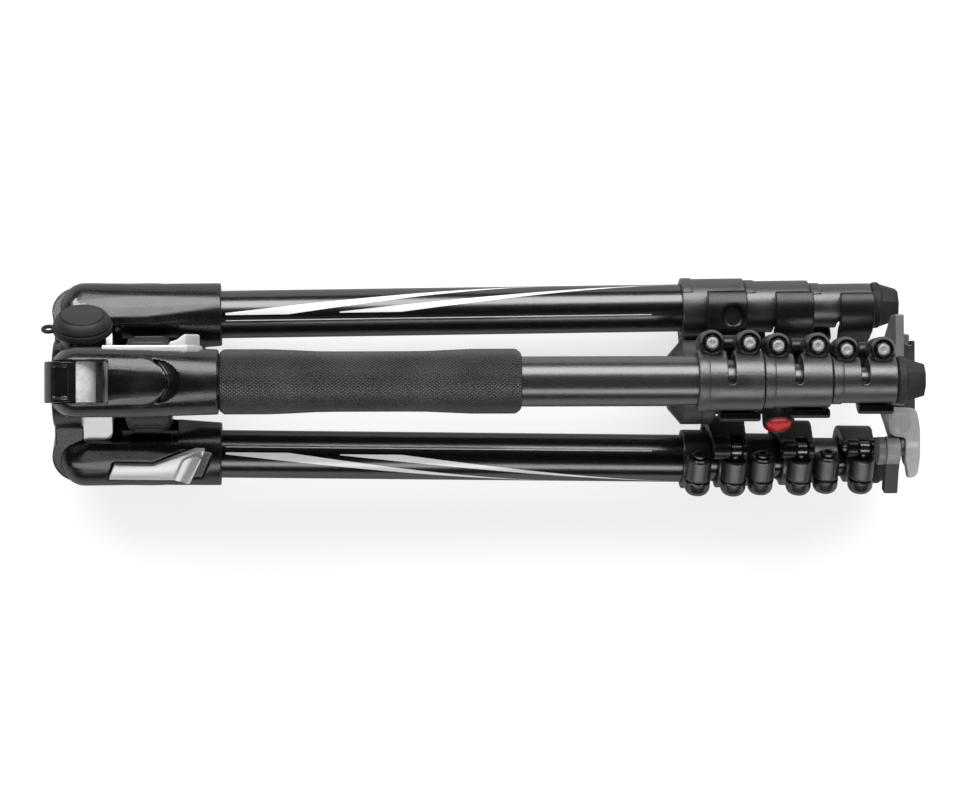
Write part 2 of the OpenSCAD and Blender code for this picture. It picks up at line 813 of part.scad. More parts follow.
// The cap is drawn round Z, in the gap between two legs, and plugs the accessory thread.
module accessory_cap() {
    tether_r = tether_w / 2;
    color("#33353a") translate([port_x, 0, cap_start]) {
        rotate_extrude() polygon([
            [0, -cap_plug_h],
            [cap_plug_r, -cap_plug_h],
            [cap_plug_r, 0],
            [cap_d / 2 - over, 0],
            [cap_d / 2, cap_rim_h],
            [cap_top_d / 2, cap_h],
            [0, cap_h]
        ]);
        difference() {
            translate([-cap_d / 2 - tether_r / 2, 0, 0]) cylinder(h = tether_thk, r = tether_r);
            translate([-cap_d / 2 - tether_r * 0.7, 0, -over])
                cylinder(h = tether_thk + 2 * over, r = tether_r - tether_thk / 2);
        }
    }
}

// Column and head

module column_tube() {
    color("#151618") difference() {
        rod(-column_back + over + fit, column_end, column_r);
        rod(-column_back, column_end + over, column_r - column_wall);
    }
}

module column_foot() {
    plug_r = column_r - column_wall - fit;
    color("#202124") {
        rod(-column_back, -column_back + over, column_r);
        rod(-column_back + over / 2, -column_back + column_r, plug_r);
    }
}

module head_base() {
    color("#2a2b2e") difference() {
        turned([
            [head_start, 0],
            [head_start, column_r + column_wall],
            [top_plate_end, base_r],
            [base_end, base_r],
            [base_end, spigot_r],
            [base_end + spigot_h, spigot_r],
            [base_end + spigot_h, 0]
        ]);
        rod(head_start - over, column_end + fit, column_r + fit);
    }
}

module ball_housing() {
    shoulder = over;
    color("#1b1c1e") difference() {
        turned([
            [skirt_start, 0],
            [skirt_start, base_r],
            [skirt_end - shoulder, base_r],
            [skirt_end, base_r - shoulder],
            [skirt_end, housing_r],
            [housing_end - shoulder, housing_r],
            [housing_end, housing_r - shoulder],
            [housing_end, 0]
        ]);
        rod(skirt_start - over, base_end + spigot_h + running, spigot_r + running);
        ball(ball_x, socket_r);
        rod(ball_x, housing_end + over, mouth_r);
        rotate([GAP_CA_ANGLE, 0, 0]) translate([knob_x, 0, housing_r / 2])
            cylinder(h = housing_r, r = knob_stud_r + running);
        rotate([GAP_BC_ANGLE, 0, 0]) translate([pan_knob_x, 0, spigot_r + over])
            cylinder(h = base_r, r = pan_stud_r + running);
    }
}

// The ball lock knob is drawn round Z, in the gap between two legs.
module ball_knob() {
    knob_half = knob_d / 2;
    color("#1a1b1d") translate([knob_x, 0, 0]) difference() {
        rotate_extrude() polygon([
            [0, knob_seat],
            [knob_stud_r, knob_seat],
            [knob_stud_r, knob_start],
            [knob_half - over, knob_start],
            [knob_half, knob_start + over],
            [knob_half, knob_r - over],
            [knob_half - over / 2, knob_r],
            [0, knob_r]
        ]);
        translate([0, 0, knob_r - badge_thk]) cylinder(h = badge_thk + over, r = badge_d / 2 + fit);
    }
}

module knob_badge() {
    color("#c2161c") translate([knob_x, 0, knob_r - badge_thk + fit])
        cylinder(h = badge_thk, r = badge_d / 2);
}

module pan_knob() {
    knob_half = pan_knob_d / 2;
    color("#1a1b1d") translate([pan_knob_x, 0, 0]) rotate_extrude() polygon([
        [0, spigot_r + 2 * over],
        [pan_stud_r, spigot_r + 2 * over],
        [pan_stud_r, pan_knob_start],
        [knob_half - over, pan_knob_start],
        [knob_half, pan_knob_start + over],
        [knob_half, pan_knob_r - over],
        [knob_half - over, pan_knob_r],
        [0, pan_knob_r]
    ]);
}

module ball_liner() {
    color("#b9b4a6") intersection() {
        difference() {
            ball(ball_x, liner_r);
            ball(ball_x, ball_r + running);
        }
        rod(ball_x - liner_back, ball_x + liner_front, liner_r + over);
    }
}

module ball_stem() {
    neck_x = ball_x + ball_r / 2;
    flare = clamp_start - stem_r / 2;
    color("#9a9da1") {
        ball(ball_x, ball_r);
        turned([
            [neck_x, 0],
            [neck_x, stem_r],
            [flare, stem_r],
            [clamp_start - fit, stem_r + stem_r / 2],
            [clamp_start - fit, 0]
        ]);
    }
}

// Quick-release clamp and plate. Corners stay inside the three legs' levers, so the head passes between them.

inner_reach = 22;

module clamp_outline() {
    polygon([
        [-clamp_half, inner_reach], [clamp_half, inner_reach],
        [clamp_half, inner_reach * 0.42], [inner_reach, -inner_reach * 0.27],
        [inner_reach * 0.86, -inner_reach / 2], [inner_reach * 0.64, -inner_reach * 0.89],
        [-inner_reach * 0.64, -inner_reach * 0.89], [-inner_reach * 0.86, -inner_reach / 2],
        [-inner_reach, -inner_reach * 0.27], [-clamp_half, inner_reach * 0.42]
    ]);
}

plate_high = inner_reach * 0.68;
plate_low = plate_high - plate_len;

// The lever's thumb pad sits in a notch. It swings past the clamp's ear, which stays close to the pivot.
pad_root = pivot_half + 2;
notch_low = plate_high + running;
notch_end = pivot_y + release_len + 3 * running;

module lever_notch() {
    ear_x = pivot_y + pivot_half * 1.1;
    polygon([
        [pivot_y + pivot_half * 0.65, inner_reach + over], [pivot_y + pivot_half * 0.65, inner_reach],
        [ear_x, pivot_z], [ear_x + running * 2, notch_low],
        [notch_end, notch_low], [notch_end, inner_reach + over]
    ]);
}

module plate_outline() {
    tip = inner_reach * 0.66;
    polygon([
        [-plate_half, plate_high], [plate_half, plate_high],
        [plate_half, -inner_reach / 2], [tip, plate_low],
        [-tip, plate_low], [-plate_half, -inner_reach / 2]
    ]);
}

module release_clamp() {
    color("#2b2c2f") difference() {
        union() {
            end_plate(clamp_start, clamp_end) difference() {
                clamp_outline();
                lever_notch();
            }
            for (side = [-1, 1]) scale([1, side, 1]) translate([clamp_end - over, 0, jaw_low])
                linear_extrude(height = jaw_high - jaw_low) polygon([
                    [0, plate_half + running],
                    [over, plate_half + running],
                    [over + jaw_h, dovetail_half + running],
                    [over + jaw_h, dovetail_half + jaw_w],
                    [0, dovetail_half + jaw_w + over]
                ]);
            translate([0, pivot_y, pivot_z]) {
                rod(catch_start - pivot_foot, catch_start - running, pivot_half);
                rod(catch_start - pivot_foot, release_end - over, pivot_pin_r);
            }
        }
        // Room for the safety catch and the lever on the pivot
        translate([0, pivot_y, pivot_z]) difference() {
            rod(catch_start - running, catch_start + catch_thk + running, pivot_half + running);
            rod(catch_start - over, catch_start + catch_thk + over, pivot_pin_r);
        }
    }
}

module release_lever() {
    thumb_low = plate_high + 2 * running - pivot_z;
    thumb_high = inner_reach - pivot_z;
    tail = pivot_d;
    color("#7d8084") translate([0, pivot_y, pivot_z]) difference() {
        union() {
            rod(release_start, release_end, pivot_half);
            end_plate(release_start, release_end) {
                translate([0, thumb_low]) square([release_len, thumb_high - thumb_low]);
                translate([-tail, -pivot_half / 2]) square([tail, pivot_half]);
            }
            // Thumb pad, which reaches back into the clamp's notch
            end_plate(release_start - release_pad_back, release_end)
                translate([pad_root, thumb_low])
                    square([release_len - pad_root, thumb_high - thumb_low]);
        }
        rod(release_start - over, release_end + over, pivot_pin_r + running);
        // Hollow for the thumb
        translate([release_end, release_len * 0.7, thumb_low - over]) scale([1 / 2, 1, 1])
            cylinder(h = thumb_high - thumb_low + 2 * over, r = release_len / 4);
    }
}

module safety_catch() {
    color("#18191b") translate([0, pivot_y, pivot_z]) difference() {
        union() {
            rod(catch_start, catch_start + catch_thk, pivot_half);
            end_plate(catch_start, catch_start + catch_thk) rotate([0, 0, catch_angle])
                translate([-catch_len, -pivot_half / 3]) square([catch_len, pivot_half]);
        }
        rod(catch_start - over, catch_start + catch_thk + over, pivot_pin_r + running);
    }
}

module camera_plate() {
    color("#1c1d1f") difference() {
        intersection() {
            end_plate(plate_start, plate_end) plate_outline();
            translate([plate_start, 0, plate_low - over])
                linear_extrude(height = plate_len + 2 * over) polygon([
                    [0, -plate_half], [0, plate_half],
                    [jaw_h, dovetail_half], [jaw_h, plate_half],
                    [plate_thk, plate_half], [plate_thk, -plate_half],
                    [jaw_h, -plate_half], [jaw_h, -dovetail_half]
                ]);
        }
        rod(plate_start - over, plate_start + screw_head_h + 2 * running, screw_head_r + running);
        rod(plate_start, plate_end + over, camera_thread_d / 2 + running);
    }
}

module camera_screw() {
    head_start_x = plate_start + running;
    color("#a9acb0") {
        rod(head_start_x, head_start_x + screw_head_h, screw_head_r);
        rod(head_start_x, thread_start + over, screw_neck_r);
        rod(thread_start, plate_end + camera_thread_len, camera_thread_d / 2);
    }
}

on_column(0) spider();
on_column(0) stop_blocks();
on_column(0) lug_pads();
on_column(0) hinge_pins();
on_column(0) column_lock_ring();
on_column(GAP_AB_ANGLE) accessory_cap();
on_column(0) column_tube();
on_column(0) column_foot();
on_column(0) head_base();
on_column(0) ball_housing();
on_column(GAP_CA_ANGLE) ball_knob();
on_column(GAP_CA_ANGLE) knob_badge();
on_column(GAP_BC_ANGLE) pan_knob();
on_column(0) ball_liner();
on_column(0) ball_stem();
on_column(0) release_clamp();
on_column(0) release_lever();
on_column(0) safety_catch();
on_column(0) camera_plate();
on_column(0) camera_screw();
on_leg(LEG_A_ANGLE) grip();  // leg_a_grip
on_leg(LEG_A_ANGLE) yoke();  // leg_a_yoke
on_leg(LEG_A_ANGLE) angle_selector();  // leg_a_angle_selector
on_leg(LEG_A_ANGLE) tube_1();  // leg_a_tube_1
on_leg(LEG_A_ANGLE) lock_1();  // leg_a_lock_1
on_leg(LEG_A_ANGLE) lever_1();  // leg_a_lever_1
on_leg(LEG_A_ANGLE) tube_2();  // leg_a_tube_2
on_leg(LEG_A_ANGLE) lock_2();  // leg_a_lock_2
on_leg(LEG_A_ANGLE) lever_2();  // leg_a_lever_2
on_leg(LEG_A_ANGLE) tube_3();  // leg_a_tube_3
on_leg(LEG_A_ANGLE) lock_3();  // leg_a_lock_3
on_leg(LEG_A_ANGLE) lever_3();  // leg_a_lever_3
on_leg(LEG_A_ANGLE) tube_4();  // leg_a_tube_4
on_leg(LEG_A_ANGLE) foot();  // leg_a_foot
on_leg(LEG_B_ANGLE) yoke();  // leg_b_yoke
on_leg(LEG_B_ANGLE) angle_selector();  // leg_b_angle_selector
on_leg(LEG_B_ANGLE) tube_1();  // leg_b_tube_1
on_leg(LEG_B_ANGLE) lock_1();  // leg_b_lock_1
on_leg(LEG_B_ANGLE) lever_1();  // leg_b_lever_1
on_leg(LEG_B_ANGLE) tube_2();  // leg_b_tube_2
on_leg(LEG_B_ANGLE) lock_2();  // leg_b_lock_2
on_leg(LEG_B_ANGLE) lever_2();  // leg_b_lever_2
on_leg(LEG_B_ANGLE) tube_3();  // leg_b_tube_3
on_leg(LEG_B_ANGLE) lock_3();  // leg_b_lock_3
on_leg(LEG_B_ANGLE) lever_3();  // leg_b_lever_3
on_leg(LEG_B_ANGLE) tube_4();  // leg_b_tube_4
on_leg(LEG_B_ANGLE) foot();  // leg_b_foot
on_leg(LEG_C_ANGLE) yoke();  // leg_c_yoke
on_leg(LEG_C_ANGLE) angle_selector();  // leg_c_angle_selector
on_leg(LEG_C_ANGLE) tube_1();  // leg_c_tube_1
on_leg(LEG_C_ANGLE) lock_1();  // leg_c_lock_1
on_leg(LEG_C_ANGLE) lever_1();  // leg_c_lever_1
on_leg(LEG_C_ANGLE) tube_2();  // leg_c_tube_2
on_leg(LEG_C_ANGLE) lock_2();  // leg_c_lock_2
on_leg(LEG_C_ANGLE) lever_2();  // leg_c_lever_2
on_leg(LEG_C_ANGLE) tube_3();  // leg_c_tube_3
on_leg(LEG_C_ANGLE) lock_3();  // leg_c_lock_3
on_leg(LEG_C_ANGLE) lever_3();  // leg_c_lever_3
on_leg(LEG_C_ANGLE) tube_4();  // leg_c_tube_4
on_leg(LEG_C_ANGLE) foot();  // leg_c_foot
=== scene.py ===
# %% [markdown]
# # A travel tripod with a ball head, folded
# The three legs of this tripod lie back along its centre column, and the ball head sits between the
# feet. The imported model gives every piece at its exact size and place, so this lesson is about looks:
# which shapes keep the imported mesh, which are made again with softer edges, and what each surface is
# made of. All lengths below are in metres unless a name ends in _mm.

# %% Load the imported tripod
from math import atan, cos, degrees, pi, radians, sin

import bmesh
import bpy
from mathutils import Matrix, Vector


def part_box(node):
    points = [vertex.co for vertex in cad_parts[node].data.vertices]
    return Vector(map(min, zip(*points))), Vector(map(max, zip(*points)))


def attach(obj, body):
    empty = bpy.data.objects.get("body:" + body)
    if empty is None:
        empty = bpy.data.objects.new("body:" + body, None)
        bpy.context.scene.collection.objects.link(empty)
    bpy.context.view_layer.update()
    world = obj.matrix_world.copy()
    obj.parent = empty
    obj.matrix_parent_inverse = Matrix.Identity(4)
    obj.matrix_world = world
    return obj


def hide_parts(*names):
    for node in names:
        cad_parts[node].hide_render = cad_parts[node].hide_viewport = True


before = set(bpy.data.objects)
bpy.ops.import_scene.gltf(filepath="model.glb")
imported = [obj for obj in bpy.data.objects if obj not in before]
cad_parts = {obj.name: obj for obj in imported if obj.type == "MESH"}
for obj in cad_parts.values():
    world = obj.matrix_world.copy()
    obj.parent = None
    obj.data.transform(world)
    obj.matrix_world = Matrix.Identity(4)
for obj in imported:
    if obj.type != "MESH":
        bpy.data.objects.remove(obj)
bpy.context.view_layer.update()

# %% [markdown]
# ## Where things are
# Every leg is the same leg, turned about the column. The hinge pins give the plane that lengths are
# counted from, and the column gives the axis. A leg's own frame has its hinge at the origin, its tube
# along X and its outer side towards Z. One matrix takes leg millimetres to the place of that leg, so
# each piece is modelled once and placed three times.

# %% The column's axis and the three legs
MM = 0.001


def middle(node):
    low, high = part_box(node)
    return (low + high) / 2


AXIS = Vector((middle("hinge_pins").x, middle("column_tube").y, middle("column_tube").z))
HINGE_R_MM = 34.6
SPLAY = radians(0.9)
TUBE_RISE_MM = 2.3
LEGS = "abc"
LEG_TURN = {"a": 0, "b": -120, "c": 120}


def column_place(turn=0):
    """From millimetres round the column, turned to a leg or a gap, to the tripod's place."""
    return Matrix.Translation(AXIS) @ Matrix.Rotation(radians(turn), 4, "X") @ Matrix.Scale(MM, 4)


def hinge_place(leg):
    """From millimetres round a leg's hinge, square to the column, to the tripod's place."""
    return column_place(LEG_TURN[leg]) @ Matrix.Translation((0, 0, HINGE_R_MM))


def leg_place(leg):
    """The same, turned by the splay, so that X runs along the leg."""
    return hinge_place(leg) @ Matrix.Rotation(-SPLAY, 4, "Y")


def tube_place(leg):
    """The same, moved up so that the axis of the leg's tube is at the origin."""
    return leg_place(leg) @ Matrix.Translation((0, 0, TUBE_RISE_MM))


print("hinge plane and column axis, mm:", [round(v / MM, 2) for v in AXIS])

# %% [markdown]
# ## The camera
# The photograph was taken with a long lens from about one and a half metres, straight above this lying
# tripod, and it looks a little towards the head. The lens and the distance were worked out from how
# much wider the near leg spreads than the two far legs. Nothing else depends on the camera.

# %% Camera
FOCAL_PX = 3098
PHOTO_W = 960
CAMERA_HEIGHT_MM = 1446
CAMERA_X_MM = 104.2
CAMERA_Y_MM = -26
AIM_TURN = radians(3.249)
AIM_TILT_PX = 38
AIM_TILT = atan(AIM_TILT_PX / FOCAL_PX)
AIM_ROLL = radians(-0.2)
SENSOR_MM = 36


def linked(name, data):
    """A new object in the scene."""
    obj = bpy.data.objects.new(name, data)
    bpy.context.scene.collection.objects.link(obj)
    return obj


camera_data = bpy.data.cameras.new("camera")
camera_data.sensor_width = SENSOR_MM
camera_data.lens = FOCAL_PX / PHOTO_W * SENSOR_MM
camera_data.clip_end = 20
camera = linked("camera", camera_data)
camera.location = AXIS + Vector((CAMERA_X_MM, CAMERA_Y_MM, CAMERA_HEIGHT_MM)) * MM
camera.rotation_euler = (AIM_TILT, -AIM_TURN, AIM_ROLL)
bpy.context.scene.camera = camera
print("lens", round(camera_data.lens, 1), "mm")

# %% [markdown]
# ## Shader arithmetic
# A procedural finish is a sum of noises and patterns. One small class adds nodes to a tree, and another
# lets a node's output be used in ordinary arithmetic, so that a pattern reads like a formula.


# %% Nodes, and sums with them
def sum_of(operation, turned=False):
    """An operator or method that adds a Math node. The terms are turned for a form such as 1 - mask."""
    def method(self, *others):
        terms = (*others, self) if turned else (self, *others)
        return self.nodes.add("ShaderNodeMath", {"operation": operation}, dict(enumerate(terms)))

    return method


class Value:
    """A node's output that can be added, scaled and compared."""

    def __init__(self, nodes, node, output):
        self.nodes = nodes
        self.node = node
        self.socket = node.outputs[output]

    def output(self, name):
        """Another output of the same node."""
        return Value(self.nodes, self.node, name)

    __add__, __radd__ = sum_of("ADD"), sum_of("ADD", turned=True)
    __sub__, __rsub__ = sum_of("SUBTRACT"), sum_of("SUBTRACT", turned=True)
    __mul__, __rmul__ = sum_of("MULTIPLY"), sum_of("MULTIPLY", turned=True)
    __truediv__, __rtruediv__ = sum_of("DIVIDE"), sum_of("DIVIDE", turned=True)
    __gt__, __lt__ = sum_of("GREATER_THAN"), sum_of("LESS_THAN")
    at_most, at_least = sum_of("MINIMUM"), sum_of("MAXIMUM")
    size, part = sum_of("ABSOLUTE"), sum_of("FRACT")
    angle_from = sum_of("ARCTAN2")

    def ramp(self, low, high, to_low=0.0, to_high=1.0):
        """The value, moved from one range to another and held inside it."""
        ends = {"From Min": low, "From Max": high, "To Min": to_low, "To Max": to_high}
        return self.nodes.add("ShaderNodeMapRange", inputs={"Value": self, **ends})


class Nodes:
    """A node tree that grows by one node at a time."""

    def __init__(self, tree):
        self.tree = tree

    def add(self, kind, settings=None, inputs=None, output=0):
        """A node of a kind: first its settings, then what its sockets are fed."""
        node = self.tree.nodes.new(kind)
        for name, setting in (settings or {}).items():
            setattr(node, name, setting)
        self.feed(node, inputs or {})
        return Value(self, node, output)

    def feed(self, node, inputs):
        """Gives each socket its number or colour, or a link to its value."""
        for name, value in inputs.items():
            if isinstance(value, Value):
                self.tree.links.new(value.socket, node.inputs[name])
            else:
                node.inputs[name].default_value = value


print("shader arithmetic ready")

# %% [markdown]
# ## The studio
# Black tubes are drawn by what they reflect. Two long soft boxes stand on either side of the lens, and
# each lays one band along every tube, with darkness between the bands. The floor is grey paper that
# takes a soft shadow, and it adds light of its own for the camera, so that it looks white. Reflections
# see a tenth of that light, because the whole of it would turn every black edge pale.

# %% Floor, soft boxes and world
FLOOR_GREY = (0.5, 0.5, 0.5, 1)
WHITE = (1, 1, 1, 1)
scene = bpy.context.scene
scene.view_settings.view_transform = "Standard"


def crisp(bm):
    """A mesh straight from a bmesh."""
    mesh = bpy.data.meshes.new("crisp")
    bm.to_mesh(mesh)
    bm.free()
    return mesh


def stage_floor(size, gleam, mirror_share):
    """Paper that glows for the camera, and with a share of that glow in reflections."""
    bm = bmesh.new()
    bmesh.ops.create_grid(bm, x_segments=1, y_segments=1, size=size / 2)
    floor = linked("floor", crisp(bm))
    material = bpy.data.materials.new("floor_paper")
    material.use_nodes = True
    tree = material.node_tree
    nodes = Nodes(tree)
    seen = nodes.add("ShaderNodeLightPath", output="Is Camera Ray")
    mirrored = seen.output("Is Glossy Ray") * mirror_share
    shining = seen.at_least(mirrored).at_least(seen.output("Is Transmission Ray"))
    glow = nodes.add("ShaderNodeEmission", inputs={"Strength": shining * gleam})
    paper = nodes.add("ShaderNodeBsdfDiffuse", inputs={"Color": FLOOR_GREY})
    both = nodes.add("ShaderNodeAddShader", inputs={0: paper, 1: glow})
    tree.nodes.remove(tree.nodes["Principled BSDF"])
    nodes.feed(tree.nodes["Material Output"], {"Surface": both})
    floor.data.materials.append(material)


def soft_box(name, angle, distance, size, power):
    """A long lamp beside the lens. The angle leans it from straight overhead towards +Y."""
    lamp = bpy.data.lights.new(name, "AREA")
    lamp.shape = "RECTANGLE"
    lamp.size, lamp.size_y = size
    lamp.energy = power
    aim = Matrix.Rotation(-radians(angle), 4, "X")
    place = Matrix.Translation((0, 0, AXIS.z)) @ aim @ Matrix.Translation((0, 0, distance))
    linked(name, lamp).matrix_world = place


def studio_world(fill, reflected):
    """Light from all round, which reflections see as a much darker room."""
    world = bpy.data.worlds.new("studio")
    scene.world = world
    world.use_nodes = True
    nodes = Nodes(world.node_tree)
    mirrored = nodes.add("ShaderNodeLightPath", output="Is Glossy Ray")
    strength = mirrored.ramp(0, 1, fill, reflected)
    nodes.feed(nodes.tree.nodes["Background"], {"Color": WHITE, "Strength": strength})


stage_floor(size=8, gleam=0.63, mirror_share=0.1)
soft_box("soft_box_upper", angle=48, distance=1.3, size=(2.4, 0.8), power=32)
soft_box("soft_box_lower", angle=-50, distance=1.3, size=(2.4, 0.45), power=10)
studio_world(fill=0.25, reflected=0.0)
print("studio ready")

# %% [markdown]
# ## Finishes
# A finish is one shader whose colour, gloss and bump follow patterns. The patterns read the piece's own
# coordinates, or those of a leg, so they stay on the piece when its joint moves.

# %% Finish helper
# A Mix node names its sockets alike for numbers and colours, so the colour ones go by their place.
COLOUR_A, COLOUR_B, COLOUR_RESULT = 6, 7, 2


def tinted(colour, times, plus=0.0):
    """A colour made paler or darker."""
    return tuple(c * times + plus for c in colour)


class Finish(Nodes):
    """A material under construction: its coordinates, noises, colours and bumps."""

    def __init__(self, name, colour, rough, metal=0.0, gloss=0.5, coat=0.0, ior=1.5):
        self.material = bpy.data.materials.new(name)
        self.material.use_nodes = True
        super().__init__(self.material.node_tree)
        self.shader = self.tree.nodes["Principled BSDF"]
        self.feed(self.shader, {
            "Base Color": (*colour, 1), "Roughness": rough, "Metallic": metal, "IOR": ior,
            "Specular IOR Level": gloss, "Coat Weight": coat,
        })
        self.coords = self.add("ShaderNodeTexCoord", output="Object")

    def placed(self, place):
        """Coordinates in millimetres in the frame that place sets up."""
        inverse = place.inverted()
        return self.add("ShaderNodeMapping", inputs={
            "Vector": self.coords, "Location": inverse.to_translation(),
            "Rotation": inverse.to_euler("XYZ"), "Scale": inverse.to_scale(),
        })

    def axes(self, vector):
        along = self.add("ShaderNodeSeparateXYZ", inputs={0: vector})
        return along, along.output("Y"), along.output("Z")

    def noise(self, scale, detail=3.0, vector=None, stretch=None):
        source = vector or self.coords
        if stretch:
            source = self.add("ShaderNodeMapping", inputs={"Vector": source, "Scale": stretch})
        return self.add("ShaderNodeTexNoise", inputs={"Vector": source, "Scale": scale, "Detail": detail})

    def blend(self, amount, low, high):
        """A colour between two colours."""
        low, high = [c if isinstance(c, Value) else (*c, 1) for c in (low, high)]
        inputs = {"Factor": amount, COLOUR_A: low, COLOUR_B: high}
        return self.add("ShaderNodeMix", {"data_type": "RGBA"}, inputs, COLOUR_RESULT)

    def colour(self, value):
        self.feed(self.shader, {"Base Color": value})

    def roughness(self, value):
        self.feed(self.shader, {"Roughness": value})

    def bump(self, height, depth_mm):
        normal = self.add("ShaderNodeBump", inputs={"Height": height, "Distance": depth_mm * MM})
        self.feed(self.shader, {"Normal": normal})


print("finish helper ready")

# %% [markdown]
# ## Castings and mouldings
# The yokes, the spider and the head are die-cast metal under a satin powder coat, and the locks are
# moulded plastic. Both have a fine grain that breaks up the highlights, and slow changes in gloss
# where hands have rubbed them. One function makes the whole family, with the grain as its main choice.


# %% Cast and moulded finishes
WEAR_SCALE = 60


def cast_finish(name, colour, rough, grain_mm, depth_mm, ior=1.5):
    finish = Finish(name, colour, rough, ior=ior)
    grain = finish.noise(1 / (grain_mm * MM), 2)
    worn = finish.noise(WEAR_SCALE, 4)
    paler = worn.ramp(0.35, 0.7) * 0.6 + grain.ramp(0.4, 0.8) * 0.3
    finish.colour(finish.blend(paler, colour, tinted(colour, 1.7, 0.004)))
    finish.roughness(worn.ramp(0.3, 0.7, rough - 0.06, rough + 0.06) + grain.ramp(0.3, 0.7, -0.03, 0.03))
    finish.bump(grain, depth_mm)
    return finish.material


yoke_casting = cast_finish("yoke_casting", (0.003, 0.003, 0.0035), 0.27, 0.45, 0.05, 1.7)
release_paint = cast_finish("release_paint", (0.29, 0.294, 0.303), 0.34, 0.4, 0.03)
clamp_metal = cast_finish("clamp_metal", (0.13, 0.13, 0.134), 0.38, 0.5, 0.03, 1.6)
cap_plastic = cast_finish("cap_plastic", (0.006, 0.006, 0.0065), 0.26, 0.5, 0.03, 1.9)
head_metal = cast_finish("head_metal", (0.02, 0.02, 0.021), 0.38, 0.5, 0.03, 1.8)
lock_plastic = cast_finish("lock_plastic", (0.007, 0.007, 0.0075), 0.38, 0.6, 0.08, 2.1)
lever_plastic = cast_finish("lever_plastic", (0.004, 0.004, 0.0045), 0.3, 0.6, 0.03, 1.5)
black_plastic = cast_finish("black_plastic", (0.012, 0.012, 0.013), 0.36, 0.6, 0.03)
ring_plastic = cast_finish("ring_plastic", (0.014, 0.014, 0.015), 0.32, 0.6, 0.03)
grey_paint = cast_finish("grey_paint", (0.2, 0.203, 0.21), 0.42, 0.4, 0.03)
print("cast finishes ready")

# %% [markdown]
# ## Anodised tubes
# The tubes are drawn aluminium, anodised black. Faint lines run along them from the drawing, and two
# pairs of pale stripes sweep round each bare leg with a thin line beside them. The stripes are worked
# out in the leg's own frame, from the distance along the tube and the angle round it. A stripe's edge
# is a slanting line: its angle at one place, its slope in degrees a millimetre, and that place.

# %% Tube finish
STRIPES = (
    {"start": 67.5, "most": 4.0, "inner": (4.0, 0.68, 97.0), "outer": (-1.0, 0.52, 67.5)},
    {"start": 121.0, "most": 2.0, "inner": (0.0, 0.61, 153.1), "outer": (-5.0, 0.485, 130.3)},
)
STRIPE_SIDE = 120
STRIPE_PALE = (0.84, 0.84, 0.85), (0.96, 0.96, 0.97)
THIN_LINE_AT = 17.5
THIN_LINE_W = 1.1
THIN_LINE_END = 268
THIN_LINE_SHARE = 0.85


def stripe_edge(along, angle, slope, at):
    return (along - at) * -slope + angle


def stripe_paint(along, angle):
    """One on the stripes and less on the thin line, from millimetres along and degrees round."""
    paint = None
    for stripe in STRIPES:
        inner = stripe_edge(along, *stripe["inner"]).at_most(stripe["most"])
        outer = stripe_edge(along, *stripe["outer"])
        inside = (angle < inner) * (angle > outer) * (along > stripe["start"])
        paint = inside if paint is None else paint.at_least(inside)
    line = (angle - THIN_LINE_AT).size() < THIN_LINE_W
    line = line * (along > STRIPES[0]["start"]) * (along < THIN_LINE_END)
    return paint.at_least(line * THIN_LINE_SHARE)


def tube_finish(leg, colour, rough, striped):
    finish = Finish(f"black_tube_{leg}", colour, rough, ior=2.0)
    vector = finish.placed(tube_place(leg))
    along, side, out = finish.axes(vector)
    drawn = finish.noise(9, 3, vector, (0.02, 1, 1))
    coat = finish.blend(drawn.ramp(0.4, 0.7), colour, tinted(colour, 1.5, 0.003))
    if striped:
        angle = (side.angle_from(out) * degrees(1)).size() - STRIPE_SIDE
        pale = finish.blend(finish.noise(40).ramp(0.3, 0.7), *STRIPE_PALE)
        coat = finish.blend(stripe_paint(along, angle), coat, pale)
    finish.colour(coat)
    finish.roughness(drawn.ramp(0.3, 0.7, rough - 0.04, rough + 0.04))
    finish.bump(drawn, 0.01)
    return finish.material


tube_finishes = {
    "a": tube_finish("a", (0.018, 0.018, 0.019), 0.26, striped=False),
    "b": tube_finish("b", (0.002, 0.002, 0.002), 0.22, striped=True),
    "c": tube_finish("c", (0.002, 0.002, 0.002), 0.22, striped=True),
}
column_finish = cast_finish("black_tube_column", (0.006, 0.006, 0.007), 0.22, 0.8, 0.01, 1.8)
print("tube finishes ready")

# %% [markdown]
# ## Metals, rubbers and the badge
# Bare metal shows brushing along its length. Rubber is matte and a little dusty. The badge on the ball
# lock knob is a plain red enamel disc under clear resin.

# %% Metal, rubber and enamel
BRUSH_SCALE = 900
RUBBER_GRAIN_SCALE = 1500
DUST_SCALE = 45
BADGE_REDS = (0.52, 0.006, 0.01), (0.66, 0.01, 0.018)


def metal_finish(name, colour, rough, stretch, metal=1.0):
    finish = Finish(name, colour, rough, metal=metal)
    brushed = finish.noise(BRUSH_SCALE, 2, stretch=stretch)
    finish.colour(finish.blend(brushed.ramp(0.3, 0.7), tinted(colour, 0.82), colour))
    finish.roughness(brushed.ramp(0.3, 0.7, rough - 0.07, rough + 0.07))
    finish.bump(brushed, 0.01)
    return finish.material


def rubber_finish(name, colour, rough):
    finish = Finish(name, colour, rough, gloss=0.35)
    grain = finish.noise(RUBBER_GRAIN_SCALE, 2)
    dust = finish.noise(DUST_SCALE, 4)
    paler = dust.ramp(0.4, 0.75) * 0.5 + grain.ramp(0.4, 0.9) * 0.3
    finish.colour(finish.blend(paler, colour, tinted(colour, 1.8, 0.008)))
    finish.roughness(grain.ramp(0.3, 0.7, rough - 0.05, rough + 0.05))
    finish.bump(grain, 0.04)
    return finish.material


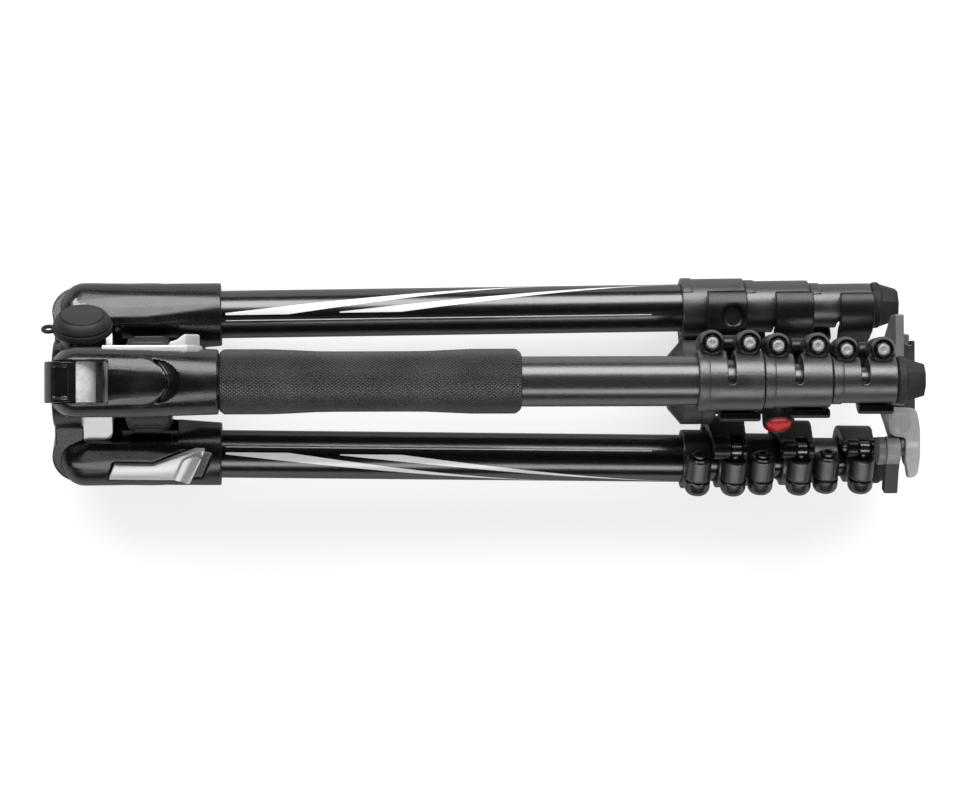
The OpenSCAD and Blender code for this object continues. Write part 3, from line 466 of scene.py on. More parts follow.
def badge_finish():
    finish = Finish("red_badge", (0.6, 0.008, 0.014), 0.3, coat=0.3)
    flecks = finish.noise(700, 2)
    finish.colour(finish.blend(flecks.ramp(0.3, 0.7), *BADGE_REDS))
    finish.bump(flecks, 0.01)
    return finish.material


bare_aluminium = metal_finish("bare_aluminium", (0.86, 0.86, 0.87), 0.36, (0.05, 1, 1), 0.35)
ball_metal = metal_finish("ball_metal", (0.32, 0.32, 0.33), 0.25, (1, 0.2, 1))
dark_steel = metal_finish("dark_steel", (0.22, 0.22, 0.225), 0.3, (1, 1, 0.3))
bright_steel = metal_finish("bright_steel", (0.7, 0.7, 0.71), 0.3, (1, 1, 0.3), 0.6)
black_rubber = rubber_finish("black_rubber", (0.012, 0.012, 0.013), 0.62)
foot_rubber = rubber_finish("foot_rubber", (0.014, 0.014, 0.015), 0.6)
grey_rubber = rubber_finish("grey_rubber", (0.014, 0.0147, 0.0157), 0.5)
liner_plastic = cast_finish("liner_plastic", (0.4, 0.38, 0.34), 0.4, 0.5, 0.01)
red_badge = badge_finish()
print("metals and rubbers ready")

# %% [markdown]
# ## The grip's diamonds
# Two sets of lines that wind round the grip in opposite ways cut its rubber into small diamonds. Each
# set is a sum of the angle and the distance along. A bump is enough at this size, and the grooves are
# darker, because little light reaches them.

# %% Grip finish
DIAMOND_MM = 2.0
GRIP_ROUND = 60
GROOVE_COLOUR = (0.004, 0.004, 0.0042)
DIAMOND_COLOUR = (0.07, 0.07, 0.073)


def grip_finish():
    finish = Finish("grip_rubber", (0.035, 0.035, 0.037), 0.44, ior=1.75)
    along, side, out = finish.axes(finish.placed(tube_place("a")))
    steps = side.angle_from(out) * (GRIP_ROUND / (2 * pi))
    rows = along / DIAMOND_MM
    one = ((steps + rows).part() - 0.5).size()
    other = ((steps - rows).part() - 0.5).size()
    diamond = one.at_most(other).ramp(0.0, 0.5)
    dust = finish.noise(DUST_SCALE, 4)
    paler = diamond * 0.7 + dust.ramp(0.4, 0.8) * 0.4
    finish.colour(finish.blend(paler, GROOVE_COLOUR, DIAMOND_COLOUR))
    finish.roughness(dust.ramp(0.3, 0.7, 0.4, 0.48))
    finish.bump(diamond, 0.7)
    return finish.material


grip_rubber = grip_finish()
print("grip finish ready")

# %% [markdown]
# ## Shape helpers
# Solids are drawn in millimetres. Turned shapes are spun from a profile, flat shapes are extruded from
# an outline, and convex ones are wrapped round a few rods and balls. Castings then melt together: a
# voxel remesh makes one skin of the overlapping solids, and a little smoothing rounds its joins and
# edges. A bevel can't do that across a Boolean cut.

# %% Solids from bmesh operators
TURN_TO = {
    "X": Matrix.Rotation(pi / 2, 4, "Y"),
    "Y": Matrix.Rotation(-pi / 2, 4, "X"),
    "Z": Matrix.Identity(4),
}


def spread(axis, along, across):
    """A point from its place along an axis and across the other two."""
    first, second = across
    return {"X": (along, first, second), "Y": (first, along, second), "Z": (first, second, along)}[axis]


def add_box(bm, low, high):
    low, high = Vector(low), Vector(high)
    place = Matrix.Translation((low + high) / 2) @ Matrix.Diagonal((*(high - low), 1))
    return bmesh.ops.create_cube(bm, size=1, matrix=place)["verts"]


def add_rod(bm, low, high, radius, axis="X", at=(0, 0), tip=None, segments=48):
    """A rod, or a cone where tip is given, from low to high along an axis."""
    centre = spread(axis, (low + high) / 2, at)
    return bmesh.ops.create_cone(
        bm,
        cap_ends=True,
        segments=segments,
        radius1=radius,
        radius2=radius if tip is None else tip,
        depth=high - low,
        matrix=Matrix.Translation(centre) @ TURN_TO[axis],
    )["verts"]


def add_ball(bm, centre, radius):
    return bmesh.ops.create_uvsphere(
        bm, u_segments=32, v_segments=16, radius=radius, matrix=Matrix.Translation(centre)
    )["verts"]


def pour(bm, other):
    """Adds one bmesh to another."""
    mesh = crisp(other)
    bm.from_mesh(mesh)
    bpy.data.meshes.remove(mesh)


def add_plate(bm, outline, low, high, axis):
    """A plate between two places along an axis. A third number at a corner rounds it."""
    sheet = bmesh.new()
    corners = [sheet.verts.new(spread(axis, low, point[:2])) for point in outline]
    sheet.faces.new(corners)
    for corner, point in zip(corners, outline):
        if len(point) == 3:
            bmesh.ops.bevel(
                sheet, geom=[corner], offset=point[2], offset_type="OFFSET", affect="VERTICES",
                segments=6 + int(point[2]), profile=0.5, material=-1,
            )
    grown = bmesh.ops.extrude_face_region(sheet, geom=sheet.faces[:])["geom"]
    far_side = [item for item in grown if isinstance(item, bmesh.types.BMVert)]
    bmesh.ops.translate(sheet, verts=far_side, vec=spread(axis, high - low, (0, 0)))
    bmesh.ops.recalc_face_normals(sheet, faces=sheet.faces)
    pour(bm, sheet)


def add_turned(bm, profile, axis="X", at=(0, 0), steps=64, angle=360, start=0, ring=False):
    """A turned solid from places along the axis and radii. A ring's profile closes on itself."""
    body = bmesh.new()
    verts = [body.verts.new((radius, 0, along)) for along, radius in profile]
    pairs = list(zip(verts, verts[1:])) + ([(verts[-1], verts[0])] if ring else [])
    edges = [body.edges.new(pair) for pair in pairs]
    bmesh.ops.spin(
        body, geom=verts + edges, cent=(0, 0, 0), axis=(0, 0, 1), angle=radians(angle),
        steps=steps, use_merge=angle == 360, use_duplicate=False,
    )
    bmesh.ops.remove_doubles(body, verts=body.verts, dist=0.001)
    if angle != 360:
        open_edges = [edge for edge in body.edges if edge.is_boundary]
        bmesh.ops.holes_fill(body, edges=open_edges)
    turn = Matrix.Rotation(radians(start), 4, "Z")
    centre = Matrix.Translation(spread(axis, 0, at))
    bmesh.ops.transform(body, matrix=centre @ TURN_TO[axis] @ turn, verts=body.verts)
    bmesh.ops.recalc_face_normals(body, faces=body.faces)
    pour(bm, body)


def wrapped(bm):
    """The convex hull of everything in a bmesh, as a new bmesh."""
    shell = bmesh.new()
    for vert in bm.verts:
        shell.verts.new(vert.co)
    bm.free()
    made = bmesh.ops.convex_hull(shell, input=shell.verts[:])
    inside = [item for item in made["geom_interior"] if isinstance(item, bmesh.types.BMVert)]
    bmesh.ops.delete(shell, geom=inside, context="VERTS")
    return shell


def round_edges(bm, width, segments=2, sharper_than=35):
    sharp = [
        edge for edge in bm.edges
        if len(edge.link_faces) == 2 and edge.calc_face_angle() > radians(sharper_than)
    ]
    bmesh.ops.bevel(
        bm, geom=sharp, offset=width, offset_type="OFFSET", affect="EDGES", segments=segments,
        profile=0.5, material=-1, clamp_overlap=True,
    )


print("solids ready")


# %% Carving, melting and placing
def scratch(bm):
    """A scratch object in millimetres, with its faces outwards."""
    bmesh.ops.recalc_face_normals(bm, faces=bm.faces)
    return linked("scratch", crisp(bm))


def solid_of(add, *sizes, **choices):
    """A scratch object from one call of an add function."""
    bm = bmesh.new()
    add(bm, *sizes, **choices)
    return scratch(bm)


def mesh_of(add, *sizes, **choices):
    """A mesh from one call of an add function."""
    bm = bmesh.new()
    add(bm, *sizes, **choices)
    return crisp(bm)


def settle(obj):
    """Gives a scratch object the mesh that its modifiers make."""
    graph = bpy.context.evaluated_depsgraph_get()
    made = bpy.data.meshes.new_from_object(obj.evaluated_get(graph))
    before = obj.data
    obj.modifiers.clear()
    obj.data = made
    bpy.data.meshes.remove(before)


def discard(objects):
    for obj in objects:
        mesh = obj.data
        bpy.data.objects.remove(obj)
        bpy.data.meshes.remove(mesh)


def carve(solids, tools, how="DIFFERENCE"):
    """Cuts every tool out of every solid, or keeps only what they share."""
    for solid in solids:
        for tool in tools:
            cut = solid.modifiers.new("cut", "BOOLEAN")
            cut.operation = how
            cut.solver = "EXACT"
            cut.object = tool
        settle(solid)
    discard(tools)


def melted(solids, voxel, rounds):
    """One mesh from overlapping solids, with rounded joins and edges."""
    bm = bmesh.new()
    for solid in solids:
        bm.from_mesh(solid.data)
    discard(solids)
    whole = scratch(bm)
    skin = whole.modifiers.new("skin", "REMESH")
    skin.mode = "VOXEL"
    skin.voxel_size = voxel
    soft = whole.modifiers.new("soft", "SMOOTH")
    soft.factor = 0.5
    soft.iterations = rounds
    settle(whole)
    mesh = whole.data
    bpy.data.objects.remove(whole)
    return mesh


def packed_copy(node):
    """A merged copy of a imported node, in millimetres round the column."""
    bm = bmesh.new()
    bm.from_mesh(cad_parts[node].data)
    bmesh.ops.transform(bm, matrix=column_place().inverted(), verts=bm.verts)
    bmesh.ops.remove_doubles(bm, verts=bm.verts, dist=0.001)
    return bm


def softened(node, voxel, rounds):
    """A packed casting, melted just enough to round its edges, in millimetres round the column."""
    return melted([scratch(packed_copy(node))], voxel, rounds)


def placed_piece(name, mesh, place, body, node, slot, finish, crease=None):
    """Puts a mesh in its place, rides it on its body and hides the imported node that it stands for."""
    mesh = mesh.copy()
    mesh.transform(place)
    mesh.shade_smooth()
    if crease:
        mesh.set_sharp_from_angle(angle=radians(crease))
    mesh.materials.clear()
    mesh.materials.append(finish)
    piece = linked(name, mesh)
    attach(piece, body)
    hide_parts(node)


def on_each_leg(name, mesh, place_of, body, node, slot, finish, crease=None):
    """The same piece on all three legs. A # in a name stands for the leg's letter."""
    for leg in LEGS:
        piece_name, leg_body, leg_node = [text.replace("#", leg) for text in (name, body, node)]
        placed_piece(piece_name, mesh, place_of(leg), leg_body, leg_node, slot, finish, crease)


print("carving and placing ready")

# %% [markdown]
# ## Leg yokes
# A yoke is a die casting that hooks over its lug with two arms and swallows the end of the leg tube.
# It is wrapped round a few balls and rods, so that its hinge end is as round as a thumb, and a second
# wrap runs out to the socket. The lug's opening, the bore, the crescent behind the tongue, the bed for
# the selector at both ends of its travel, and the hollow between the flanks are cut from the wraps
# before they melt together. The crescent's floor rises towards the socket.

# %% Yoke sizes
YOKE_HALF = 15.9
YOKE_R = 12.8
YOKE_END_R = 11.0
YOKE_TOP = 15.8
YOKE_LOW = -10.3
SHOULDER = YOKE_TOP - YOKE_R
HINGE_BALLS = ((0.3, 1.4), (1.8, YOKE_TOP - YOKE_END_R))
FLANK = ((0, SHOULDER), (0.5, -2.5), (1.7, -7.5), (3.5, YOKE_LOW))
BOX_START, BOX_END = 16, 31
FORK_HALF = 9.6
FORK_END = 16.5
SOCKET_R = 14.8
SOCKET_START = 57
SOCKET_END = 65.6
SOCKET_BORE = 11.3
TONGUE_PROUD = 0.2
TONGUE_ARCH = [(0, -11.4), (32, -11.2), (37, -9.4), (40.2, -6.8), (42.4, -3.6), (43.2, 0)]
CRESCENT_OUTER = [(36.6, -10.1), (41.8, -9.0), (45.6, -6.4), (48.0, -3.2), (48.8, 0)]
CRESCENT_INNER = [(36.6, -9.4), *TONGUE_ARCH[3:]]
CRESCENT_FLOOR = 13.2
CRESCENT_MIDDLE = 43.4
CRESCENT_SLOPE = 0.45
BED_FLOOR = 12.7
BED_OUTLINE = [(12.3, 8.2), (15.2, -1.4), (33.8, -1.3), (53.2, -9.6), (59.2, -9.6), (52.6, 8.2)]
SELECTOR_TRAVEL = 4.0
HOLLOW_HALF = 11.0
HOLLOW_OUTLINE = [(14, -16), (14, 4, 2), (36, 4, 3), (45, -3, 2), (45, -16)]
print("yoke width, mm:", 2 * YOKE_HALF)


# %% Yoke solids
def moved(profile, along, out=0.0):
    """A profile or outline, moved along and outwards."""
    return [(x + along, r + out) for x, r in profile]


def mirrored(points):
    """Points that run up to the middle line, and back on its other side."""
    return points + [(x, -y) for x, y in reversed(points[:-1])]


def add_yoke_section(bm, low, high, radius=YOKE_R):
    """The rods and corners of the yoke's boxy section, from low to high along the leg."""
    side = YOKE_HALF - YOKE_R
    for y in (-side, side):
        add_rod(bm, low, high, radius, at=(y, SHOULDER), segments=32)
    for inset, floor in FLANK:
        add_box(bm, (low, inset - YOKE_HALF, floor), (high, YOKE_HALF - inset, SHOULDER + 0.1))


def yoke_box():
    bm = bmesh.new()
    side = YOKE_HALF - YOKE_END_R
    for y in (-side, side):
        for x, z in HINGE_BALLS:
            add_ball(bm, (x, y, z), YOKE_END_R)
    add_yoke_section(bm, BOX_START, BOX_END)
    for x, (inset, floor) in ((4, FLANK[3]), (3, FLANK[2])):
        add_box(bm, (x, inset - YOKE_HALF, floor), (6, YOKE_HALF - inset, 0))
    return scratch(wrapped(bm))


def yoke_run_out():
    bm = bmesh.new()
    add_yoke_section(bm, BOX_END - 2, BOX_END - 1)
    add_rod(bm, SOCKET_START, SOCKET_END, SOCKET_R, at=(0, TUBE_RISE_MM), segments=64)
    return scratch(wrapped(bm))


def yoke_tongue():
    """The raised tongue on the outer face, with a pointed arch for a tip."""
    bm = bmesh.new()
    add_yoke_section(bm, FORK_END, BOX_END, YOKE_R + TONGUE_PROUD)
    tip_r = SOCKET_R + TONGUE_PROUD
    add_rod(bm, SOCKET_START, SOCKET_START + 1, tip_r, at=(0, TUBE_RISE_MM), segments=64)
    tongue = scratch(wrapped(bm))
    carve([tongue], [solid_of(add_plate, mirrored(TONGUE_ARCH), 4, 20, "Z")], "INTERSECT")
    return tongue


def crescent():
    """The hollow between the tongue's tip and the socket."""
    edge = mirrored(CRESCENT_OUTER) + [(x, -y) for x, y in mirrored(CRESCENT_INNER)][:-1]
    bm = bmesh.new()
    add_plate(bm, edge, CRESCENT_FLOOR, 22, "Z")
    for vert in bm.verts:
        if vert.co.z < CRESCENT_FLOOR + 1:
            vert.co.z += (vert.co.x - CRESCENT_MIDDLE) * CRESCENT_SLOPE
    return scratch(bm)


print("yoke solids ready")

# %% Melt the yokes
yoke_cuts = [
    solid_of(add_box, (-14, -FORK_HALF, -14), (FORK_END, FORK_HALF, 20)),
    solid_of(add_rod, SOCKET_START - 4, SOCKET_END + 2, SOCKET_BORE, at=(0, TUBE_RISE_MM)),
    crescent(),
]
for travel in (0, SELECTOR_TRAVEL):
    yoke_cuts.append(solid_of(add_plate, moved(BED_OUTLINE, travel), BED_FLOOR, 20, "Y"))
yoke_cuts.append(solid_of(add_plate, HOLLOW_OUTLINE, -HOLLOW_HALF, HOLLOW_HALF, "Y"))
yoke_solids = [yoke_box(), yoke_run_out(), yoke_tongue()]
carve(yoke_solids, yoke_cuts)
yoke_mesh = melted(yoke_solids, 0.45, 5)
on_each_leg("yoke_#", yoke_mesh, leg_place, "leg_#", "leg_#_yoke", "black_casting", yoke_casting)
print("yoke faces:", len(yoke_mesh.polygons))

# %% [markdown]
# ## Angle selectors
# The sliding selector on the flank of each yoke is bare aluminium. A flat bar turns into a broad thumb
# end with a raised, hollowed wedge, and every edge is chamfered, which gives the bright lines.

# %% Selectors
SELECTOR_OUTLINE = [(13.1, 7.4), (15.9, -0.6), (34.0, -0.5), (53.6, -8.5), (58.0, -8.6), (51.8, 7.4)]
WEDGE_OUTLINE = [(42.6, 6.6), (46.6, -3.9), (54.0, -7.6), (56.9, -7.7), (51.0, 6.6)]
WEDGE_HEIGHT = 6.0
WEDGE_FALL = (1.2, -3.6, 0)
SCOOP_R = 6.2
SCOOP_Y = YOKE_HALF + 8.6

bar = bmesh.new()
add_plate(bar, SELECTOR_OUTLINE, BED_FLOOR + 0.2, YOKE_HALF + 0.7, "Y")
round_edges(bar, 0.6, 2)
wedge = bmesh.new()
add_plate(wedge, WEDGE_OUTLINE, YOKE_HALF, YOKE_HALF + WEDGE_HEIGHT, "Y")
half_height = YOKE_HALF + WEDGE_HEIGHT / 2
hinge_side = [v for v in wedge.verts if v.co.y > half_height and v.co.x + v.co.z * 0.42 < 47]
bmesh.ops.translate(wedge, verts=hinge_side, vec=WEDGE_FALL)
round_edges(wedge, 0.9, 3, 20)
wedge_solid = scratch(wedge)
scoop = bmesh.new()
add_rod(scoop, -14, 12, SCOOP_R, "Z", at=(46.6, SCOOP_Y), segments=64)
lean = Matrix.Rotation(radians(-24), 3, "Y")
bmesh.ops.rotate(scoop, cent=(47, SCOOP_Y, 0), matrix=lean, verts=scoop.verts)
carve([wedge_solid], [scratch(scoop)])
selector = bmesh.new()
selector.from_mesh(wedge_solid.data)
discard([wedge_solid])
pour(selector, bar)
selector_mesh = crisp(selector)
on_each_leg(
    "angle_selector_#", selector_mesh, leg_place, "leg_#_selector", "leg_#_angle_selector",
    "bare_aluminium", bare_aluminium, 24,
)
print("selector faces:", len(selector_mesh.polygons))

# %% [markdown]
# ## Leg locks
# Each lock is a moulded collar with a slit, and two bosses beside it whose bolts pull the slit shut.
# The collar and its ears melt into one skin. The caps of the bosses, the lip round the collar's inner
# end, the nuts and the bolts' ends stay crisp, because turned and machined parts have sharp edges that
# catch the light.

# %% Lock sizes
BOLT_IN = 6.4
BOLT_OUT = 3.3
EAR_HALF = 5.4
EAR_DROP = 10.1
CAP_LOW = 1.4
CAP_TOP = 8.0
SEAT = 5.8
BOSS_R = 6.0
SLIT = 3.5
CAM_R = 4.3
EYE_Z = -EAR_DROP - 0.2 - CAM_R
SHANK_R = 2.0
PIN_R = 1.6
NUT_R = 3.75
LOCKS = {
    1: {"start": 283.0, "length": 29.8, "r": 13.7, "big": 11.25, "small": 9.5},
    2: {"start": 313.1, "length": 31.0, "r": 12.3, "big": 9.5, "small": 7.75},
    3: {"start": 344.4, "length": 29.6, "r": 10.5, "big": 7.75, "small": 6.0},
}
LOCK_BODY = {1: "leg_#", 2: "leg_#_section_2", 3: "leg_#_section_3"}
BOSS_PROFILE = [
    (1.0, 3.0), (1.0, 5.2), (CAP_LOW, 5.4), (1.9, BOSS_R), (5.4, BOSS_R), (6.4, 5.75),
    (7.4, 5.2), (CAP_TOP, 4.7), (CAP_TOP, 4.4), (7.6, 4.15), (SEAT, 4.1), (SEAT, 3.0),
]
BOLT_HEAD_PROFILE = [
    (-11.2, 0), (-11.2, 1.5), (-12.4, 1.7), (-12.5, 2.7), (-12.1, 3.3), (-10.5, 3.4), (-10.5, 4.0),
    (-11.0, 4.2), (-11.0, 4.8), (-10.0, 5.0), (-10.0, 0),
]
BOLT_END_PROFILE = [
    (8.0, 0), (8.0, 2.7), (8.45, 2.6), (8.5, 2.05), (8.95, 1.9), (8.95, 1.3), (8.3, 1.1), (8.3, 0),
]
LIP_PROFILE = [(0.2, -0.8), (0.2, 0.2), (0.6, 0.5), (4.7, 0.5), (5.1, 0.2), (5.1, -0.8)]
EYE_PROFILE = [(-2.4, 0), (-2.4, 2.9), (-2.1, 3.2), (2.1, 3.2), (2.4, 2.9), (2.4, 0)]


def bolt_places(lock):
    """The places of both bolts along the tube, and how far beside it they stand."""
    end = lock["start"] + lock["length"]
    return lock["start"] + BOLT_IN, end - BOLT_IN, lock["r"] + BOLT_OUT


print("bolt places of the first lock:", bolt_places(LOCKS[1]))


# %% Collars
def collar_mesh(lock):
    start, end, r = lock["start"], lock["start"] + lock["length"], lock["r"]
    middle_x = (start + end) / 2
    near_x, far_x, bolt_y = bolt_places(lock)
    solids = [solid_of(add_rod, start, end, r, segments=96)]
    foot_top = CAP_LOW - 0.6
    for x in (near_x, far_x):
        ear = bmesh.new()
        add_box(ear, (x - EAR_HALF, 0, -EAR_DROP), (x + EAR_HALF, bolt_y - 2.6, SEAT - 0.4))
        add_box(ear, (x - EAR_HALF, 0, -EAR_DROP), (x + EAR_HALF, bolt_y, foot_top))
        foot = solid_of(add_rod, -EAR_DROP, foot_top, BOSS_R - 0.1, "Z", at=(x, bolt_y))
        solids += [scratch(ear), foot]
    cuts = [
        solid_of(add_rod, start - 1, middle_x, lock["big"] + 0.05),
        solid_of(add_rod, middle_x - 1, end + 1, lock["small"] + 0.2),
        solid_of(add_box, (middle_x - SLIT / 2, 0, -r - 1), (middle_x + SLIT / 2, bolt_y + 9, r + 1)),
        solid_of(add_rod, -r - 1, r + 1, SLIT / 2, "Z", at=(middle_x, -0.3)),
    ]
    carve(solids, cuts)
    return melted(solids, 0.45, 4)


print("collar helper ready")


# %% Caps, lips, bolts and nuts
def boss_cap_mesh(lock):
    """The round caps that hold the nuts, and the bolt head below the near one."""
    near_x, far_x, bolt_y = bolt_places(lock)
    bm = bmesh.new()
    for x in (near_x, far_x):
        add_turned(bm, BOSS_PROFILE, "Z", at=(x, bolt_y), steps=48, ring=True)
    add_turned(bm, BOLT_HEAD_PROFILE, "Z", at=(near_x, bolt_y), steps=40)
    return crisp(bm)


def lip_mesh(lock):
    """A raised ring round the outer side of the collar's inner end."""
    profile = moved(LIP_PROFILE, lock["start"], lock["r"])
    return mesh_of(add_turned, profile, steps=60, angle=170, start=100, ring=True)


def screw_mesh(lock):
    """The ends of the bolts in the nuts."""
    near_x, far_x, bolt_y = bolt_places(lock)
    bm = bmesh.new()
    for x in (near_x, far_x):
        add_turned(bm, BOLT_END_PROFILE, "Z", at=(x, bolt_y), steps=24)
    return crisp(bm)


def nut_and_eye_mesh(lock):
    """The nuts, and the bolt's shank below the collar with the eye and the pin that carry the lever."""
    near_x, far_x, bolt_y = bolt_places(lock)
    bm = bmesh.new()
    for x in (near_x, far_x):
        nut = bmesh.new()
        add_rod(nut, SEAT - 0.1, 8.2, NUT_R, "Z", at=(x, bolt_y), segments=6)
        round_edges(nut, 0.35, 1)
        pour(bm, nut)
    shank = [(EYE_Z, 0), (EYE_Z, SHANK_R), (-EAR_DROP + 1, SHANK_R), (-EAR_DROP + 1, 0)]
    add_turned(bm, shank, "Z", at=(far_x, bolt_y), steps=24)
    add_turned(bm, moved(EYE_PROFILE, far_x), "X", at=(bolt_y, EYE_Z), steps=32)
    add_rod(bm, far_x - 10, far_x + 4.2, PIN_R, "X", at=(bolt_y, EYE_Z), segments=24)
    bmesh.ops.recalc_face_normals(bm, faces=bm.faces)
    return crisp(bm)


print("cap and bolt helpers ready")

# %% Make the locks
for number, lock in LOCKS.items():
    collar = collar_mesh(lock)
    lock_pieces = (
        ("collar", collar, "lock_plastic", lock_plastic),
        ("lip", lip_mesh(lock), "lock_plastic", lock_plastic, 40),
        ("boss_caps", boss_cap_mesh(lock), "lock_plastic", cap_plastic, 40),
        ("screws", screw_mesh(lock), "dark_steel", bright_steel, 30),
        ("nuts", nut_and_eye_mesh(lock), "dark_steel", dark_steel, 30),
    )
    node = f"leg_#_lock_{number}"
    for kind, mesh, *look in lock_pieces:
        on_each_leg(f"{kind}_#{number}", mesh, tube_place, LOCK_BODY[number], node, *look)
    print("lock", number, "collar faces:", len(collar.polygons))

# %% [markdown]
# ## Lock levers
# A lever hooks round the underside of its collar, from a cam on the bolt's pin to a thumb tip on the
# outer side. It is an L-shaped plate with one big rounded corner, a little narrower at the cam, where a
# slot takes the bolt's eye. The first lever has a round thumb hollow at its corner.

# %% Levers
LEVER_THICK = 4.8
LEVER_GAP = 0.7
LEVER_NEAR = {1: 12.4, 2: 11.2, 3: 9.8}
LEVER_FAR = {1: 6.4, 2: 7.0, 3: 6.4}
LEVER_NARROWS = 0.86
CAM_SLOT_HALF = 2.7
THUMB_TOP = -1.6
THUMB_HOLLOW_DEPTH = (17.4, 30)
THUMB_HOLLOW_R = (4.4, 11.0)
THUMB_HOLLOW_TURN = radians(120)


def lever_mesh(number, lock):
    near_x, far_x, bolt_y = bolt_places(lock)
    inner = lock["r"] + LEVER_GAP
    outer = inner + LEVER_THICK
    low_x, high_x = far_x - LEVER_NEAR[number], far_x + LEVER_FAR[number]
    plate = bmesh.new()
    outline = [
        (-outer + 0.6, THUMB_TOP, 1.4), (-outer, -outer, 15.4), (bolt_y - 1, -outer, 2),
        (bolt_y + 3.4, EYE_Z - 1), (bolt_y, EYE_Z + 3), (bolt_y - 5, -inner), (-inner, -inner, 10),
        (-inner, THUMB_TOP, 1.2),
    ]
    add_plate(plate, outline, low_x, high_x, "X")
    to_middle = Matrix.Translation((-(low_x + high_x) / 2, 0, 0))
    inner_end = [v for v in plate.verts if v.co.y > bolt_y - 6]
    bmesh.ops.scale(plate, vec=(LEVER_NARROWS, 1, 1), space=to_middle, verts=inner_end)
    cam = solid_of(add_rod, low_x + 1.6, high_x - 1.2, CAM_R, "X", at=(bolt_y, EYE_Z))
    slot_low = (far_x - CAM_SLOT_HALF, bolt_y - 6, EYE_Z - 8)
    slot_high = (far_x + CAM_SLOT_HALF, bolt_y + 8, EYE_Z + 8)
    cuts = [solid_of(add_box, slot_low, slot_high)]
    if number == 1:
        hollow = bmesh.new()
        wide, widest = THUMB_HOLLOW_R
        add_rod(hollow, *THUMB_HOLLOW_DEPTH, wide, "Z", at=(high_x - 7.0, -5.4), tip=widest)
        lean = Matrix.Rotation(THUMB_HOLLOW_TURN, 3, "X")
        bmesh.ops.rotate(hollow, cent=(0, 0, 0), matrix=lean, verts=hollow.verts)
        cuts.append(scratch(hollow))
    solids = [scratch(plate), cam]
    carve(solids, cuts)
    return melted(solids, 0.42, 14)


for number, lock in LOCKS.items():
    mesh = lever_mesh(number, lock)
    body = node = f"leg_#_lever_{number}"
    on_each_leg(f"lever_#{number}", mesh, tube_place, body, node, "black_plastic", lever_plastic)
    print("lever", number, "faces:", len(mesh.polygons))

# %% [markdown]
# ## Rubber feet and the grip
# A foot is a rounded flange with an eight-sided block of rubber behind it. The grip is a sleeve that is
# thicker at both ends, with chamfered rims.

# %% Feet and grip
FOOT_START = 374.3
FLANGE_PROFILE = [
    (0, 0), (0, 9.6), (0.6, 10.6), (1.8, 11.0), (3.4, 11.0), (4.4, 10.3), (4.8, 9.0), (4.8, 0),
]
BLOCK_FROM, BLOCK_TO = FOOT_START + 4.0, FOOT_START + 12.8
BLOCK_R, BLOCK_TIP_R = 10.6, 7.8
GRIP_PROFILE = [
    (65.8, 0), (65.8, 12.4), (66.2, 13.3), (67.8, 14.6), (68.6, 14.8), (88, 14.8), (98, 14.45),
    (110, 13.85), (118, 13.75), (150, 13.75), (160, 13.85), (172, 14.4), (180, 14.75), (199.6, 14.8),
    (200.6, 14.6), (202.3, 13.3), (202.8, 12.4), (202.8, 0),
]

foot = bmesh.new()
add_turned(foot, moved(FLANGE_PROFILE, FOOT_START), "X", steps=64)
block = bmesh.new()
add_rod(block, BLOCK_FROM, BLOCK_TO, BLOCK_R, "X", tip=BLOCK_TIP_R, segments=8)
half_side = Matrix.Rotation(radians(360 / 16), 3, "X")
bmesh.ops.rotate(block, cent=(0, 0, 0), matrix=half_side, verts=block.verts)
round_edges(block, 0.5, 2, 20)
pour(foot, block)
on_each_leg(
    "foot_#", crisp(foot), tube_place, "leg_#_section_4", "leg_#_foot", "black_rubber",
    foot_rubber, 30,
)
placed_piece(
    "grip_sleeve", mesh_of(add_turned, GRIP_PROFILE, "X", steps=96), tube_place("a"), "leg_a",
    "leg_a_grip", "grip_rubber", grip_rubber, 50,
)
print("grip and feet ready")

# %% [markdown]
# ## The spider, its stop blocks and pads
# The spider is one casting: a hub round the column, a neck, three lugs for the legs and a port between
# two of them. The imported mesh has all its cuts, so a merged copy of it melts just enough to round its
# edges. The blocks against which the selectors bear are machined from bare aluminium, so they stay
# crisp: their outer corners are cut off, and a round face stands in their place. The pads in the lugs
# are ribbed rubber.

# %% Spider and stop blocks
FACE_R = 12.3
FACE_HALF = 9.2
FACE_START = 1.9
FACE_END = 10.4
BLOCK_CORNER_END = 17

spider_mesh = softened("spider", 0.5, 2)
placed_piece(
    "spider_casting", spider_mesh, column_place(), "spider", "spider", "black_casting", yoke_casting,
)
blocks = scratch(packed_copy("stop_blocks"))
corners = []
for leg in LEGS:
    corner = bmesh.new()
    corner_high = (BLOCK_CORNER_END, FACE_HALF + 2, HINGE_R_MM + FACE_R + 2)
    add_box(corner, (FACE_END, -FACE_HALF - 2, HINGE_R_MM), corner_high)
    turned = column_place().inverted() @ column_place(LEG_TURN[leg])
    bmesh.ops.transform(corner, matrix=turned, verts=corner.verts)
    corners.append(scratch(corner))
carve([blocks], corners)
block_faces = len(blocks.data.polygons)
placed_piece(
    "stop_blocks_cut", blocks.data, column_place(), "spider", "stop_blocks", "bare_aluminium",
    bare_aluminium, 30,
)
face = solid_of(add_rod, -FACE_HALF, FACE_HALF, FACE_R, "Y", segments=96)
kept_low = (FACE_START, -FACE_HALF - 1, -FACE_R - 1)
kept_high = (FACE_END, FACE_HALF + 1, FACE_R + 1)
carve([face], [solid_of(add_box, kept_low, kept_high)], "INTERSECT")
on_each_leg(
    "stop_face_#", face.data, hinge_place, "spider", "stop_blocks", "bare_aluminium",
    bare_aluminium, 30,
)
discard([blocks, face])
print("spider faces:", len(spider_mesh.polygons), "blocks:", block_faces)

# %% Lug pads with ribs
LUG_R = 13.2
PAD_HALF = 7.2
PAD_FROM, PAD_TO = 8, 41
RIB_COUNT = 9
RIB_SHARE = 0.6


